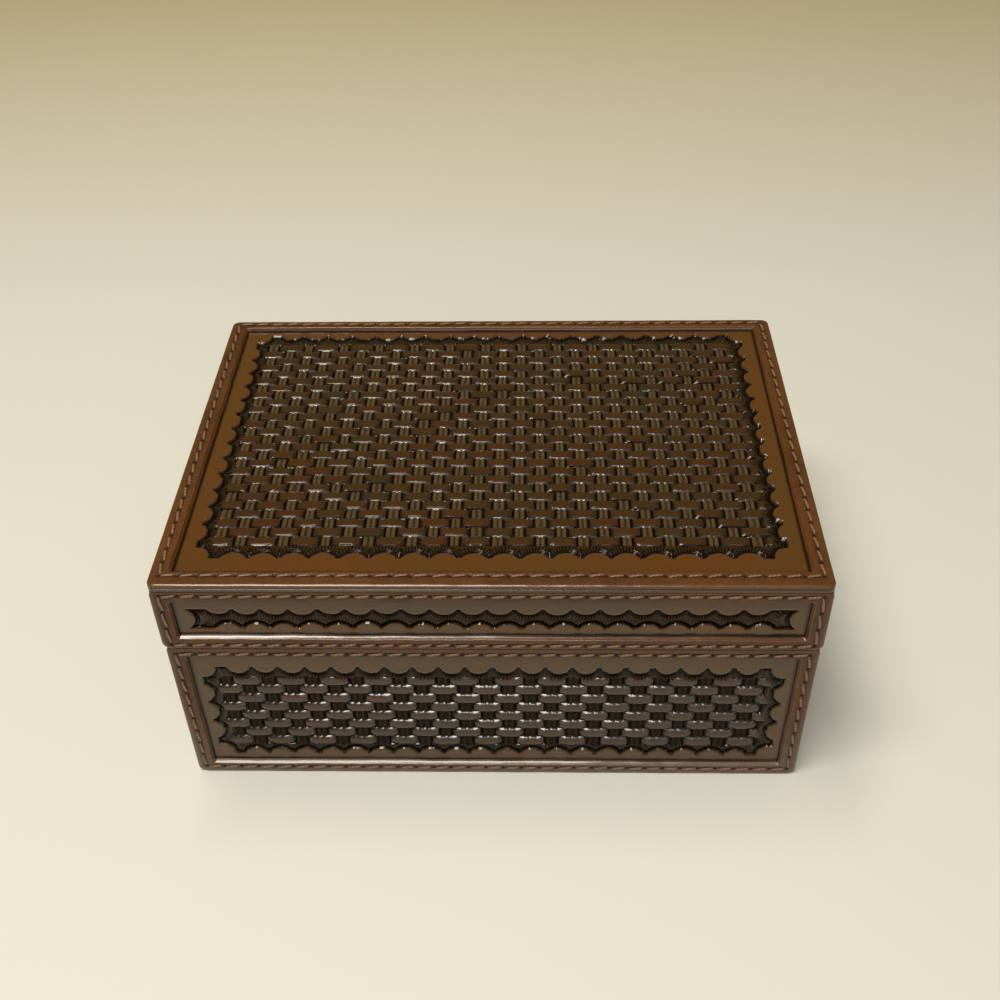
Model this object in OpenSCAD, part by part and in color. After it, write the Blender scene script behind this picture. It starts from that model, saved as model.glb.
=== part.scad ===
// Leather-covered stationery box with a hinged lid.
// A thin wooden carcass carries tooled leather panels. Each panel lies behind a window-cut
// leather frame that is stitched round its opening. Two stop hinges join the lid at the back.
// Origin: centre of the underside. +X to the right, +Y to the back, +Z up. Millimetres.

/* [Overall size] */
// Width of the lid, left to right
lid_w = 178; // [140:1:260]
// Depth of the lid, front to back
lid_d = 126; // [100:1:200]
// Height of the closed box
box_h = 78.4; // [60:0.2:140]
// Height of the lid, from the joint to its top
lid_h = 24.2; // [22:0.2:35]
// How far the lid stands out past the base on each side
lid_overhang = 0.4; // [0:0.1:1]
// Radius of the upright corners
corner_r = 2; // [0.6:0.1:2.4]

/* [Wooden carcass] */
// Thickness of the wall boards
wall_t = 5; // [4.4:0.1:8]
// Thickness of the floor board
floor_t = 4; // [3:0.1:8]
// Thickness of the lid's top board
top_t = 4; // [3:0.1:8]

/* [Leather and lining] */
// Thickness of the tooled panels
panel_t = 1.1; // [0.9:0.1:2]
// Thickness of the window-cut frames
frame_t = 1.4; // [0.6:0.1:2]
// Thickness of the leather under the base
cover_t = 1.2; // [0.8:0.1:2]
// Thickness of the suede lining
lining_t = 1; // [0.5:0.1:2]

/* [Frame strips] */
// Width of the front strip of the top frame
top_front_strip = 6.2; // [5.2:0.1:8]
// Width of the back strip of the top frame
top_back_strip = 4.9; // [3.6:0.1:8]
// Width of the left and right strips of the top frame
top_side_strip = 5.7; // [5:0.1:8]
// Width of the upright strips on the side faces
side_strip = 5.5; // [5:0.1:8]
// Height of the upper strip on the lid's side faces
lid_upper_strip = 4.4; // [3:0.1:5]
// Height of the lower strip on the lid's side faces
lid_lower_strip = 4.4; // [3:0.1:5]
// Height of the upper strip on the base
base_upper_strip = 4.4; // [3.5:0.1:8]
// Height of the lower strip on the base
base_lower_strip = 4.6; // [3.5:0.1:8]

/* [Stitching] */
// Distance from one stitch to the next
stitch_pitch = 5.07; // [4.6:0.01:8]
// Length of a stitch that shows
stitch_l = 4.1; // [3:0.1:4.4]
// Width of the thread
stitch_w = 0.8; // [0.4:0.1:1.2]
// Height of the thread above the leather
stitch_h = 0.3; // [0.2:0.05:0.6]
// Slant of each stitch across its seam, in degrees
stitch_slant = 8; // [0:1:12]
// Distance of the seam from the outer edge on left, right and upright strips
seam_inset = 2.6; // [2:0.1:3.4]
// Distance of the seam from the outer edge on the top's front strip
top_front_seam = 3.8; // [2.2:0.1:4.4]
// Distance of the seam from the outer edge on the top's back strip
top_back_seam = 2.1; // [1.6:0.1:2.6]
// Distance of the seam from the outer edge on the lid's upper and lower strips
lid_seam_inset = 1.6; // [1.4:0.1:2.2]
// Distance of the seam from the outer edge on the base's upper and lower strips
base_seam_inset = 2.5; // [1.8:0.1:2.7]

/* [Tooling] */
// Depth of the stamped ground below the plain margin
ground_depth = 0.5; // [0.2:0.1:0.6]
// Plain margin between the window and the border's tips at the front of the top
top_front_margin = 5.6; // [2:0.1:8]
// Plain margin between the window and the border's tips at the back of the top
top_back_margin = 1.8; // [1:0.1:8]
// Plain margin at the left and right of the top
top_side_margin = 3.8; // [2:0.1:8]
// Plain margin above the border on the base
base_upper_margin = 4.7; // [2:0.1:6]
// Plain margin below the border on the base
base_lower_margin = 2.2; // [1:0.1:5]
// Plain margin at the ends of the border on the base
base_end_margin = 2; // [1:0.1:5]
// Plain margin above the border on the lid's side faces
lid_upper_margin = 3.3; // [1:0.1:3.4]
// Plain margin below the border on the lid's side faces
lid_lower_margin = 2; // [1:0.1:2.4]
// Plain margin at the ends of the border on the lid's side faces
lid_end_margin = 2.7; // [1:0.1:5]
// Spacing of the border stamps along an edge
lobe_pitch = 7.45; // [6:0.05:12]
// Spacing of the border stamps along the front and back of the top
top_lobe_pitch = 8.15; // [6:0.05:12]
// How far a lobe of the border reaches into the field on the top
top_lobe_reach = 2.1; // [1.6:0.1:3]
// How far a lobe reaches into the field on the base
base_lobe_reach = 2.5; // [1.6:0.1:3]
// How far a lobe reaches into the field on the lid's side faces
lid_lobe_reach = 1.9; // [1.4:0.1:2.4]
// Flat tip that stays between two lobes
lobe_gap = 1; // [0.2:0.1:1.6]
// Radius of the lobe in each corner of a woven field
corner_lobe_r = 3.2; // [1.6:0.1:3.6]
// How far a corner lobe's centre lies inside the corner, each way
corner_lobe_in = 1; // [0.6:0.1:1.4]
// Length that each corner takes from a row of lobes in a woven field
corner_room = 7; // [5.6:0.1:9]
// Length that each end lobe takes from the rows on the lid's side faces
lid_end_room = 5.9; // [3:0.1:9]
// Sideways shift between the two rows of lobes on the lid's side faces
lid_row_shift = 1.8; // [0:0.1:3.6]
// Width of the border that the weave leaves free
border_w = 4.7; // [4:0.1:9]
// Distance from one pad of the weave to the next in a row on the top
top_pad_pitch = 11.6; // [9:0.1:16]
// Distance from one pad to the next in a row on the base
base_pad_pitch = 12.15; // [9:0.05:16]
// Distance from one row of the weave to the next
row_pitch = 3.74; // [3.6:0.02:6]
// Sideways shift of the weave on the top
top_weave_shift = -4; // [-6:0.1:6]
// Sideways shift of the weave on the base
base_weave_shift = -1.6; // [-6:0.1:6]
// Length of a pad
pad_l = 8.2; // [5:0.1:8.6]
// Height of a pad
pad_h = 3.1; // [2:0.1:3.4]

/* [Hinges] */
// Distance of each hinge's middle from the centre line
hinge_x = 50; // [25:1:60]
// Length of a hinge along its pin
hinge_l = 25; // [20:1:40]
// Thickness of a hinge leaf
leaf_t = 0.8; // [0.6:0.1:1.2]
// Outer radius of the knuckles
knuckle_r = 1.6; // [1.4:0.1:1.8]
// Radius of the hinge pin
pin_r = 0.8; // [0.5:0.05:0.9]
// Distance of the pin's axis behind the lid's back face
axis_out = 2; // [2:0.1:3]
// Angle at which the stop tails of the two leaves meet
stop_angle = 99; // [80:1:110]
// Length of a stop tail, from the axis
tail_r = 3.4; // [2.8:0.1:5]
// Thickness of a stop tail
tail_t = 0.8; // [0.6:0.1:1.2]
// Radius of a screw's shank
screw_r = 0.9; // [0.6:0.1:1]
// Radius of a screw's head
head_r = 1.6; // [1.3:0.1:1.8]
// Length of a screw below its head
screw_l = 5; // [3:0.5:10]
// Distance between the two screws in a leaf
screw_spacing = 14; // [8:1:16]

/* [Clearances] */
// Radial clearance between a pin and its knuckles
pin_clear = 0.05; // [0.02:0.01:0.1]
// Clearance between neighbouring knuckles
knuckle_gap = 0.1; // [0.05:0.05:0.3]
// Clearance round the other leaf's knuckles
swing_clear = 0.3; // [0.2:0.05:0.6]
// Clearance of a leaf in its recess and of a screw in its hole
fit_clear = 0.05; // [0.02:0.01:0.2]

/* [Hidden] */
$fn = 48;
SIDES = ["front", "right", "back", "left"];

// Colours
LEATHER = "#5f4130";
TOOLED = "#463627";
THREAD = "#86623f";
WOOD = "#a88455";
SUEDE = "#7d6044";
BRASS = "#b8923f";

// Levels and outlines that follow from the sizes above
base_w = lid_w - 2 * lid_overhang;
base_d = lid_d - 2 * lid_overhang;
joint_z = box_h - lid_h;
stack_t = panel_t + frame_t;
lid_skin_h = lid_h - stack_t;
top_board_z = box_h - stack_t - top_t;
axis_y = lid_d / 2 + axis_out;
board_y = base_d / 2 - stack_t;
screw_y = board_y - wall_t / 2;
knuckles = 5;
knuckle_l = hinge_l / knuckles;
pin_head_t = 0.6;
pin_head_r = knuckle_r - 0.3;
over = 1;

// The angle that turns the front face to each side
function turn(side) = 90 * search([side], SIDES)[0];
function across(side) = side == "front" || side == "back";
// A face's distance from the middle of the box
function reach(side, w, d) = (across(side) ? d : w) / 2;
// The front and back layers cover the ends of the left and right ones
function layer_len(side, w, d, outer) = across(side) ? w : d - 2 * outer;

// Places local x along a face, local y up it and local z out of it, at a distance from the middle
module on_face(side, out) {
    rotate([0, 0, turn(side)]) translate([0, -out, 0]) rotate([90, 0, 0]) children();
}

// Plain shapes
module bar(x, y, z, h) {
    translate([-x / 2, -y / 2, z]) cube([x, y, h]);
}

module centred_rect(w, h) {
    translate([-w / 2, -h / 2]) square([w, h]);
}

module round_rect(w, d, r) {
    centred_rect(w - 2 * r, d);
    centred_rect(w, d - 2 * r);
    for (sx = [-1, 1])
        for (sy = [-1, 1])
            translate([sx * (w / 2 - r), sy * (d / 2 - r)]) circle(r);
}

module rounded_block(w, d, z, h) {
    translate([0, 0, z]) linear_extrude(h) round_rect(w, d, corner_r);
}

// Places its children at the middle of both hinges
module at_hinges() {
    for (s = [-1, 1])
        translate([s * hinge_x, 0, 0]) children();
}

// The room that the hinge leaves take in the two rims, cut from boards and leather
module leaf_recess() {
    at_hinges()
        bar(hinge_l + 2 * fit_clear, 2 * (axis_y + over), joint_z - leaf_t, 2 * leaf_t);
}

module cut_for_leaves(side) {
    difference() {
        children();
        if (side == "back")
            intersection() {
                leaf_recess();
                translate([-lid_w / 2, board_y - wall_t - fit_clear, 0])
                    cube([lid_w, wall_t + stack_t + 2 * over, box_h]);
            }
    }
}

// Pilot holes for the hinge screws, upwards or downwards from the joint
module pilot_holes(up) {
    depth = leaf_t + screw_l + fit_clear;
    at_hinges()
        for (s = [-1, 1])
            translate([s * screw_spacing / 2, screw_y, up ? joint_z - over : joint_z - depth])
                cylinder(r = screw_r + fit_clear, h = depth + over);
}

// Carcass
module wall_board(side, w, d, z, h, up) {
    out = reach(side, w, d) - stack_t;
    color(WOOD)
        difference() {
            cut_for_leaves(side)
                on_face(side, out - wall_t)
                    translate([-layer_len(side, w - 2 * stack_t, d - 2 * stack_t, wall_t) / 2, z, 0])
                        cube([layer_len(side, w - 2 * stack_t, d - 2 * stack_t, wall_t), h, wall_t]);
            if (side == "back")
                pilot_holes(up);
        }
}

module base_wall_board(side) {
    wall_board(side, base_w, base_d, cover_t, joint_z - cover_t, false);
}

module lid_wall_board(side) {
    wall_board(side, lid_w, lid_d, joint_z, top_board_z - joint_z, true);
}

module base_floor_board() {
    inset = 2 * (stack_t + wall_t);
    color(WOOD) bar(base_w - inset, base_d - inset, cover_t, floor_t);
}

module lid_top_board() {
    color(WOOD) bar(lid_w - 2 * stack_t, lid_d - 2 * stack_t, top_board_z, top_t);
}

module base_bottom_cover() {
    color(LEATHER) bar(base_w - 2 * stack_t, base_d - 2 * stack_t, 0, cover_t);
}

// Linings
module wall_lining(side, w, d, z, h) {
    outer = stack_t + wall_t;
    len = layer_len(side, w - 2 * outer, d - 2 * outer, lining_t);
    color(SUEDE)
        on_face(side, reach(side, w, d) - outer - lining_t)
            translate([-len / 2, z, 0]) cube([len, h, lining_t]);
}

module base_wall_lining(side) {
    z = cover_t + floor_t + lining_t;
    wall_lining(side, base_w, base_d, z, joint_z - z);
}

module lid_wall_lining(side) {
    wall_lining(side, lid_w, lid_d, joint_z, top_board_z - lining_t - joint_z);
}

module base_floor_lining() {
    inset = 2 * (stack_t + wall_t);
    color(SUEDE) bar(base_w - inset, base_d - inset, cover_t + floor_t, lining_t);
}

module lid_top_lining() {
    inset = 2 * (stack_t + wall_t);
    color(SUEDE) bar(lid_w - inset, lid_d - inset, top_board_z - lining_t, lining_t);
}

// Tooling, drawn flat round the middle of a field that is w by h from tip to tip
// A row of lobes along the lower edge of a field, bulging upwards into it
module lobe_row(len, pitch, reach) {
    n = max(1, round(len / pitch));
    p = len / n;
    half_chord = (p - lobe_gap) / 2;
    r = (half_chord * half_chord + reach * reach) / (2 * reach);
    for (i = [0 : n - 1])
        translate([(i + 0.5) * p - len / 2, reach - r]) circle(r);
}

// A woven field has lobes along all four edges and a round one in each corner
module woven_outline(w, h, pitch, reach) {
    difference() {
        centred_rect(w, h);
        for (s = [0, 180])
            rotate(s) translate([0, -h / 2]) lobe_row(w - 2 * corner_room, pitch, reach);
        for (s = [90, 270])
            rotate(s) translate([0, -w / 2]) lobe_row(h - 2 * corner_room, lobe_pitch, reach);
        for (sx = [-1, 1])
            for (sy = [-1, 1])
                translate([sx * (w / 2 - corner_lobe_in), sy * (h / 2 - corner_lobe_in)])
                    circle(corner_lobe_r);
    }
}

// The lid's narrow fields have two facing rows of lobes and one lobe at each end
module band_outline(w, h, reach) {
    difference() {
        centred_rect(w, h);
        for (s = [0, 180])
            rotate(s)
                translate([lid_row_shift / 2, -h / 2])
                    lobe_row(w - 2 * lid_end_room, lobe_pitch, reach);
        for (s = [90, 270])
            rotate(s) translate([0, -w / 2]) lobe_row(h, h, reach);
    }
}

// The pads of the basketweave, each row shifted by half a pitch from the one below
module weave_pads(w, h, pitch, shift) {
    rows = max(1, floor((h - 2 * border_w + row_pitch / 2) / row_pitch));
    room = w - 2 * border_w;
    half = ceil(room / pitch / 2) + 1;
    intersection() {
        centred_rect(room, h);
        for (j = [0 : rows - 1])
            for (i = [-half : half])
                translate([(i + (j % 2) / 2) * pitch + shift, (j - (rows - 1) / 2) * row_pitch])
                    centred_rect(pad_l, pad_h);
    }
}

// What the stamps sink on the top and on the base: the woven field without its pads
module top_ground(w, h) {
    difference() {
        woven_outline(w, h, top_lobe_pitch, top_lobe_reach);
        weave_pads(w, h, top_pad_pitch, top_weave_shift);
    }
}

module base_ground(w, h) {
    difference() {
        woven_outline(w, h, lobe_pitch, base_lobe_reach);
        weave_pads(w, h, base_pad_pitch, base_weave_shift);
    }
}

// A leather panel on a side face. Its children, drawn flat round the middle of the stamped field,
// are sunk into it at a height of mid_z.
module side_panel(side, w, d, z, h, mid_z) {
    len = layer_len(side, w, d, stack_t);
    color(TOOLED)
        cut_for_leaves(side)
            intersection() {
                rounded_block(w, d, z, h);
                on_face(side, reach(side, w, d) - stack_t)
                    difference() {
                        translate([-len / 2, z, 0]) cube([len, h, panel_t]);
                        translate([0, mid_z, panel_t - ground_depth])
                            linear_extrude(ground_depth + over) children();
                    }
            }
}

module base_panel(side) {
    low = base_lower_strip + base_lower_margin;
    field_h = joint_z - low - base_upper_strip - base_upper_margin;
    field_w = layer_len(side, base_w, base_d, stack_t) - 2 * (side_strip + base_end_margin);
    side_panel(side, base_w, base_d, 0, joint_z, low + field_h / 2)
        base_ground(field_w, field_h);
}

module lid_panel(side) {
    low = lid_lower_strip + lid_lower_margin;
    field_h = lid_skin_h - low - lid_upper_strip - lid_upper_margin;
    field_w = layer_len(side, lid_w, lid_d, stack_t) - 2 * (side_strip + lid_end_margin);
    side_panel(side, lid_w, lid_d, joint_z, lid_skin_h, joint_z + low + field_h / 2)
        band_outline(field_w, field_h, lid_lobe_reach);
}

module lid_top_panel() {
    front = top_front_strip + top_front_margin;
    back = top_back_strip + top_back_margin;
    color(TOOLED)
        difference() {
            rounded_block(lid_w, lid_d, box_h - stack_t, panel_t);
            translate([0, (front - back) / 2, box_h - frame_t - ground_depth])
                linear_extrude(ground_depth + over)
                    top_ground(lid_w - 2 * (top_side_strip + top_side_margin),
                        lid_d - front - back);
        }
}

// Frames: a strip of leather all round a window
module side_frame(side, w, d, z, h, low, high) {
    len = layer_len(side, w, d, stack_t);
    color(LEATHER)
        cut_for_leaves(side)
            intersection() {
                rounded_block(w, d, z, h);
                on_face(side, reach(side, w, d) - frame_t)
                    difference() {
                        translate([-len / 2, z, 0]) cube([len, h, frame_t]);
                        translate([side_strip - len / 2, z + low, -over])
                            cube([len - 2 * side_strip, h - low - high, frame_t + 2 * over]);
                    }
            }
}

module base_frame(side) {
    side_frame(side, base_w, base_d, 0, joint_z, base_lower_strip, base_upper_strip);
}

module lid_frame(side) {
    side_frame(side, lid_w, lid_d, joint_z, lid_skin_h, lid_lower_strip, lid_upper_strip);
}

module lid_top_frame() {
    color(LEATHER)
        difference() {
            rounded_block(lid_w, lid_d, box_h - frame_t, frame_t);
            translate([0, (top_front_strip - top_back_strip) / 2, 0])
                bar(lid_w - 2 * top_side_strip, lid_d - top_front_strip - top_back_strip,
                    box_h - frame_t - over, frame_t + 2 * over);
        }
}

// Thread: one slanted stitch with bevelled flanks, and a row of them along x
module stitch() {
    rotate([0, 0, stitch_slant]) translate([-stitch_l / 2, 0, 0]) rotate([90, 0, 90])
        linear_extrude(stitch_l)
            polygon([[-stitch_w / 2, 0], [stitch_w / 2, 0], [stitch_w / 4, stitch_h],
                [-stitch_w / 4, stitch_h]]);
}

module stitch_row(len) {
    n = max(1, floor(len / stitch_pitch));
    for (i = [0 : n - 1])
        translate([(i + 0.5 - n / 2) * len / n, 0, 0]) stitch();
}

// A seam that runs round a w by h rectangle, centred on the origin
module seam(w, h) {
    for (s = [-1, 1])
        translate([0, s * h / 2, 0]) stitch_row(w);
    for (s = [-1, 1])
        translate([s * w / 2, 0, 0]) rotate([0, 0, 90]) stitch_row(h);
}

module side_thread(side, w, d, z, h, inset) {
    color(THREAD)
        on_face(side, reach(side, w, d))
            translate([0, z + h / 2, 0])
                seam(layer_len(side, w, d, stack_t) - 2 * seam_inset, h - 2 * inset);
}

module base_thread(side) {
    side_thread(side, base_w, base_d, 0, joint_z, base_seam_inset);
}

module lid_thread(side) {
    side_thread(side, lid_w, lid_d, joint_z, lid_skin_h, lid_seam_inset);
}

module lid_top_thread() {
    color(THREAD)
        translate([0, (top_front_seam - top_back_seam) / 2, box_h])
            seam(lid_w - 2 * seam_inset, lid_d - top_front_seam - top_back_seam);
}

// Hinges: one leaf's plate, knuckles and stop tail, drawn for the base and mirrored for the lid
// The base has the odd knuckles and the lid the even ones
function is_own(k, up) = (k % 2 == 1) == up;

module knuckle_slot(k, r, gap) {
    translate([(k - knuckles / 2) * knuckle_l + gap, axis_y, joint_z])
        rotate([0, 90, 0]) cylinder(r = r, h = knuckle_l - 2 * gap);
}

// The tail's outer face lies on a ray from the axis, half the stop angle below the horizontal
module stop_tail(x, l, from_r) {
    translate([x, axis_y, joint_z]) rotate([-stop_angle / 2, 0, 0])
        translate([0, from_r, -tail_t]) cube([l, tail_r - from_r, tail_t]);
}

module leaf_solid(up) {
    // The inner face of the wall board that the leaf lies on
    inner_y = (up ? lid_d : base_d) / 2 - stack_t - wall_t;
    difference() {
        union() {
            translate([-hinge_l / 2, inner_y, joint_z - leaf_t])
                cube([hinge_l, axis_y - inner_y, leaf_t]);
            stop_tail(-hinge_l / 2, hinge_l, knuckle_r + swing_clear);
        }
        for (k = [0 : knuckles - 1])
            if (!is_own(k, up))
                knuckle_slot(k, knuckle_r + swing_clear, -knuckle_gap / 2);
    }
    for (k = [0 : knuckles - 1])
        if (is_own(k, up)) {
            knuckle_slot(k, knuckle_r, knuckle_gap / 2);
            stop_tail((k - knuckles / 2) * knuckle_l + knuckle_gap / 2, knuckle_l - knuckle_gap,
                knuckle_r / 2);
        }
}

module screw_head(clear) {
    translate([0, 0, -leaf_t])
        cylinder(r1 = screw_r + clear, r2 = head_r + clear, h = leaf_t);
}

module hinge_leaf(up) {
    color(BRASS)
        difference() {
            leaf_solid(up);
            translate([0, axis_y, joint_z]) rotate([0, 90, 0])
                cylinder(r = pin_r + pin_clear, h = 2 * hinge_l, center = true);
            for (s = [-1, 1])
                translate([s * screw_spacing / 2, screw_y, joint_z]) screw_head(fit_clear);
        }
}

// Turns what is drawn below the joint into its mirror image above it
module above_joint() {
    translate([0, 0, joint_z]) mirror([0, 0, 1]) translate([0, 0, -joint_z]) children();
}

module base_hinge_leaves() {
    at_hinges() hinge_leaf(false);
}

module lid_hinge_leaves() {
    at_hinges() above_joint() hinge_leaf(true);
}

module hinge_pins() {
    color(BRASS)
        at_hinges()
            translate([-hinge_l / 2, axis_y, joint_z]) rotate([0, 90, 0]) {
                cylinder(r = pin_r, h = hinge_l);
                for (x = [-pin_head_t, hinge_l])
                    translate([0, 0, x]) cylinder(r = pin_head_r, h = pin_head_t);
            }
}

// Countersunk screws with a slot across the head
module screws() {
    slot_w = 0.4;
    slot_depth = 0.3;
    color(BRASS)
        at_hinges()
            for (s = [-1, 1])
                translate([s * screw_spacing / 2, screw_y, joint_z])
                    difference() {
                        union() {
                            screw_head(0);
                            translate([0, 0, -leaf_t - screw_l]) cylinder(r = screw_r, h = screw_l);
                        }
                        bar(2 * (head_r + over), slot_w, -slot_depth, slot_depth + over);
                    }
}

module base_hinge_screws() {
    screws();
}

module lid_hinge_screws() {
    above_joint() screws();
}

base_floor_board();
base_bottom_cover();
base_floor_lining();
base_hinge_leaves();
hinge_pins();
base_hinge_screws();
lid_top_board();
lid_top_lining();
lid_top_panel();
lid_top_frame();
lid_top_thread();
lid_hinge_leaves();
lid_hinge_screws();
for (side = SIDES) {
    base_wall_board(side);
    base_wall_lining(side);
    base_panel(side);
    base_frame(side);
    base_thread(side);
    lid_wall_board(side);
    lid_wall_lining(side);
    lid_panel(side);
    lid_frame(side);
    lid_thread(side);
}
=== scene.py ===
"""Looks of a leather-covered stationery box: tooled panels behind stitched frames, on a wooden
carcass with a suede lining and two small brass butt hinges. Lengths are in metres."""
import math

import bmesh
import bpy
import numpy as np
from mathutils import Matrix, Vector


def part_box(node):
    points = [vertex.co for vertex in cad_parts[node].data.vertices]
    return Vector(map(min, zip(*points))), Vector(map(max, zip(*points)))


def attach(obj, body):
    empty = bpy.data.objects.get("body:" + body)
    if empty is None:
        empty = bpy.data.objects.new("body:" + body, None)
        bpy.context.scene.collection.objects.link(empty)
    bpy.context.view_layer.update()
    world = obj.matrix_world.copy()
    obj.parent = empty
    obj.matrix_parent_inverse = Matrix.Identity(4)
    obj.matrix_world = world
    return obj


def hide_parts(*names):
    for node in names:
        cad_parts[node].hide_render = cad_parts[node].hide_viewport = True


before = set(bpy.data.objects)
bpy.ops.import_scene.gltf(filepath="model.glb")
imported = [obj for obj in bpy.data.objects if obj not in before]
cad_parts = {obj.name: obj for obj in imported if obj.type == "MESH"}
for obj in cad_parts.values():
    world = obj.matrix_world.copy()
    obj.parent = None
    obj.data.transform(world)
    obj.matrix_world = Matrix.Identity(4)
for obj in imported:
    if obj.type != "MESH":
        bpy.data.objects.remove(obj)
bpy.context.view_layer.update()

bl_info = {
    "name": "Tooled Stationery Box",
    "version": (1, 0, 0),
    "blender": (4, 5, 0),
    "location": "View3D > Sidebar > Stationery Box",
    "description": "Builds the leather, thread, lining, wood and brass of a tooled stationery box",
    "category": "Add Mesh",
}

MM = 0.001
SIDES = ("front", "right", "back", "left")

# UV units to a millimetre, along and up a piece's own face
UV_SCALE = 0.01

# At the back, leather is cut away to this depth beside each leaf of a hinge
NOTCH_DEPTH = 0.86 * MM
LEAF_HALF_LENGTH = 12.5 * MM
NOTCH_PLAY = 0.05 * MM

# The holes that the stitches dive into, and how wide the groove between them is
HOLE_DEPTH = 0.22 * MM
HOLE_LENGTH = 0.6 * MM
HOLE_WIDTH = 0.58 * MM
GROOVE_WIDTH = 0.55 * MM

# A panel's modelled surface reaches this far under its frame
HIDDEN_RIM = 1.2 * MM

# From the middle of a row of the weave up to where its pads' bevels start, on the sides
BEVEL_START = 1.08 * MM

# Each face's own directions: along it, up it and out of it
FACES = {
    "top": ((1, 0, 0), (0, 1, 0), (0, 0, 1)),
    "bottom": ((1, 0, 0), (0, -1, 0), (0, 0, -1)),
    "front": ((1, 0, 0), (0, 0, 1), (0, -1, 0)),
    "right": ((0, 1, 0), (0, 0, 1), (1, 0, 0)),
    "back": ((-1, 0, 0), (0, 0, 1), (0, 1, 0)),
    "left": ((0, -1, 0), (0, 0, 1), (-1, 0, 0)),
}


# Sizes and colours a user would change

def length(name, description, millimetres):
    """A length property with its default in millimetres."""
    return bpy.props.FloatProperty(
        name=name, description=description, default=millimetres * MM, min=0, unit="LENGTH")


def colour(name, description, default):
    """A colour property, in linear red, green and blue."""
    return bpy.props.FloatVectorProperty(
        name=name, description=description, default=default, size=3, min=0, max=1,
        subtype="COLOR")


class BoxFrameSizes(bpy.types.PropertyGroup):
    """Widths of the frame strips and how their edges are finished."""
    top_front: length("Top front strip", "Width of the front strip of the top frame", 6.2)
    top_back: length("Top back strip", "Width of the back strip of the top frame", 4.9)
    top_side: length("Top side strips", "Width of the left and right strips of the top", 5.7)
    side_strip: length("Upright strip", "Width of the upright strips on the side faces", 5.5)
    lid_upper: length("Lid upper strip", "Height of the upper strip on the lid's sides", 4.4)
    lid_lower: length("Lid lower strip", "Height of the lower strip on the lid's sides", 4.4)
    base_upper: length("Base upper strip", "Height of the upper strip on the base", 4.4)
    base_lower: length("Base lower strip", "Height of the lower strip on the base", 4.6)
    corner: length("Corner radius", "Radius of the box's upright corners", 2.0)
    edge: length("Edge rounding", "Rounding of the frames' outer edges", 0.7)
    slope: length("Window slope", "How far a window's cut edge leans back", 0.76)
    waver: length("Hand waver", "How far cut edges stray from a straight line", 0.16)


class BoxStitchSizes(bpy.types.PropertyGroup):
    """Spacing and thickness of the seams."""
    pitch: length("Stitch spacing", "Distance from one stitch to the next", 5.07)
    thread: length("Thread width", "Width of the laid thread", 0.82)
    slant: bpy.props.FloatProperty(
        name="Slant", description="Angle of each stitch across its seam",
        default=math.radians(8), subtype="ANGLE")
    inset: length("Seam inset", "Seam to the outer edge, on upright and side strips", 2.6)
    top_front: length("Top front seam", "Seam to the edge on the top's front strip", 3.8)
    top_back: length("Top back seam", "Seam to the edge on the top's back strip", 2.1)
    lid_inset: length("Lid seam inset", "Seam to the edge on the lid's long strips", 1.6)
    base_inset: length("Base seam inset", "Seam to the edge on the base's long strips", 2.5)
    groove: length("Groove depth", "Depth of the groove that the thread lies in", 0.14)


class BoxToolingSizes(bpy.types.PropertyGroup):
    """Layout and depth of the stamped pattern."""
    top_side: length("Top side margins", "Plain leather left and right, on the top", 3.8)
    top_front: length("Top front margin", "Plain leather in front, on the top", 5.6)
    top_back: length("Top back margin", "Plain leather behind, on the top", 1.8)
    base_end: length("Base end margins", "Plain leather at the ends, on the base", 2.0)
    base_low: length("Base lower margin", "Plain leather below, on the base", 2.2)
    base_high: length("Base upper margin", "Plain leather above, on the base", 4.7)
    lid_end: length("Lid end margins", "Plain leather at the ends, on the lid's sides", 2.7)
    lid_low: length("Lid lower margin", "Plain leather below, on the lid's sides", 2.0)
    lid_high: length("Lid upper margin", "Plain leather above, on the lid's sides", 3.3)
    lobe_pitch: length("Border stamp spacing", "Distance between border stamps", 7.45)
    top_lobe_pitch: length("Top stamp spacing", "The same at the top's front and back", 8.15)
    top_reach: length("Top lobe reach", "How far a lobe reaches into the top's field", 2.1)
    base_reach: length("Base lobe reach", "The same on the base", 2.5)
    lid_reach: length("Lid lobe reach", "The same on the lid's sides", 1.9)
    lobe_gap: length("Lobe gap", "Flat tip between two lobes", 1.0)
    corner_lobe: length("Corner lobe radius", "Radius of the lobe in each corner", 3.2)
    corner_in: length("Corner lobe inset", "Its centre to the corner, each way", 1.0)
    corner_room: length("Corner room", "Length a corner takes from a row of lobes", 7.0)
    lid_end_room: length("Lid end room", "Length an end lobe takes from a row", 5.9)
    lid_row_shift: length("Lid row shift", "Shift between the lid's two rows of lobes", 1.8)
    border: length("Border width", "Width that the weave leaves free", 4.7)
    top_pad_pitch: length("Top pad spacing", "Distance between pads in a row, on the top", 11.6)
    base_pad_pitch: length("Base pad spacing", "The same on the base", 12.15)
    row_pitch: length("Row spacing", "Distance between rows of the weave", 3.74)
    top_shift: length("Top weave shift", "How far left the top's weave is shifted", 4.0)
    base_shift: length("Base weave shift", "The same on the base", 1.6)
    pad_length: length("Pad length", "Length of a pad", 8.2)
    pad_height: length("Pad height", "Height of a pad", 3.1)
    depth: length("Stamp depth", "Depth of the deepest stamping", 0.85)


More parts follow.
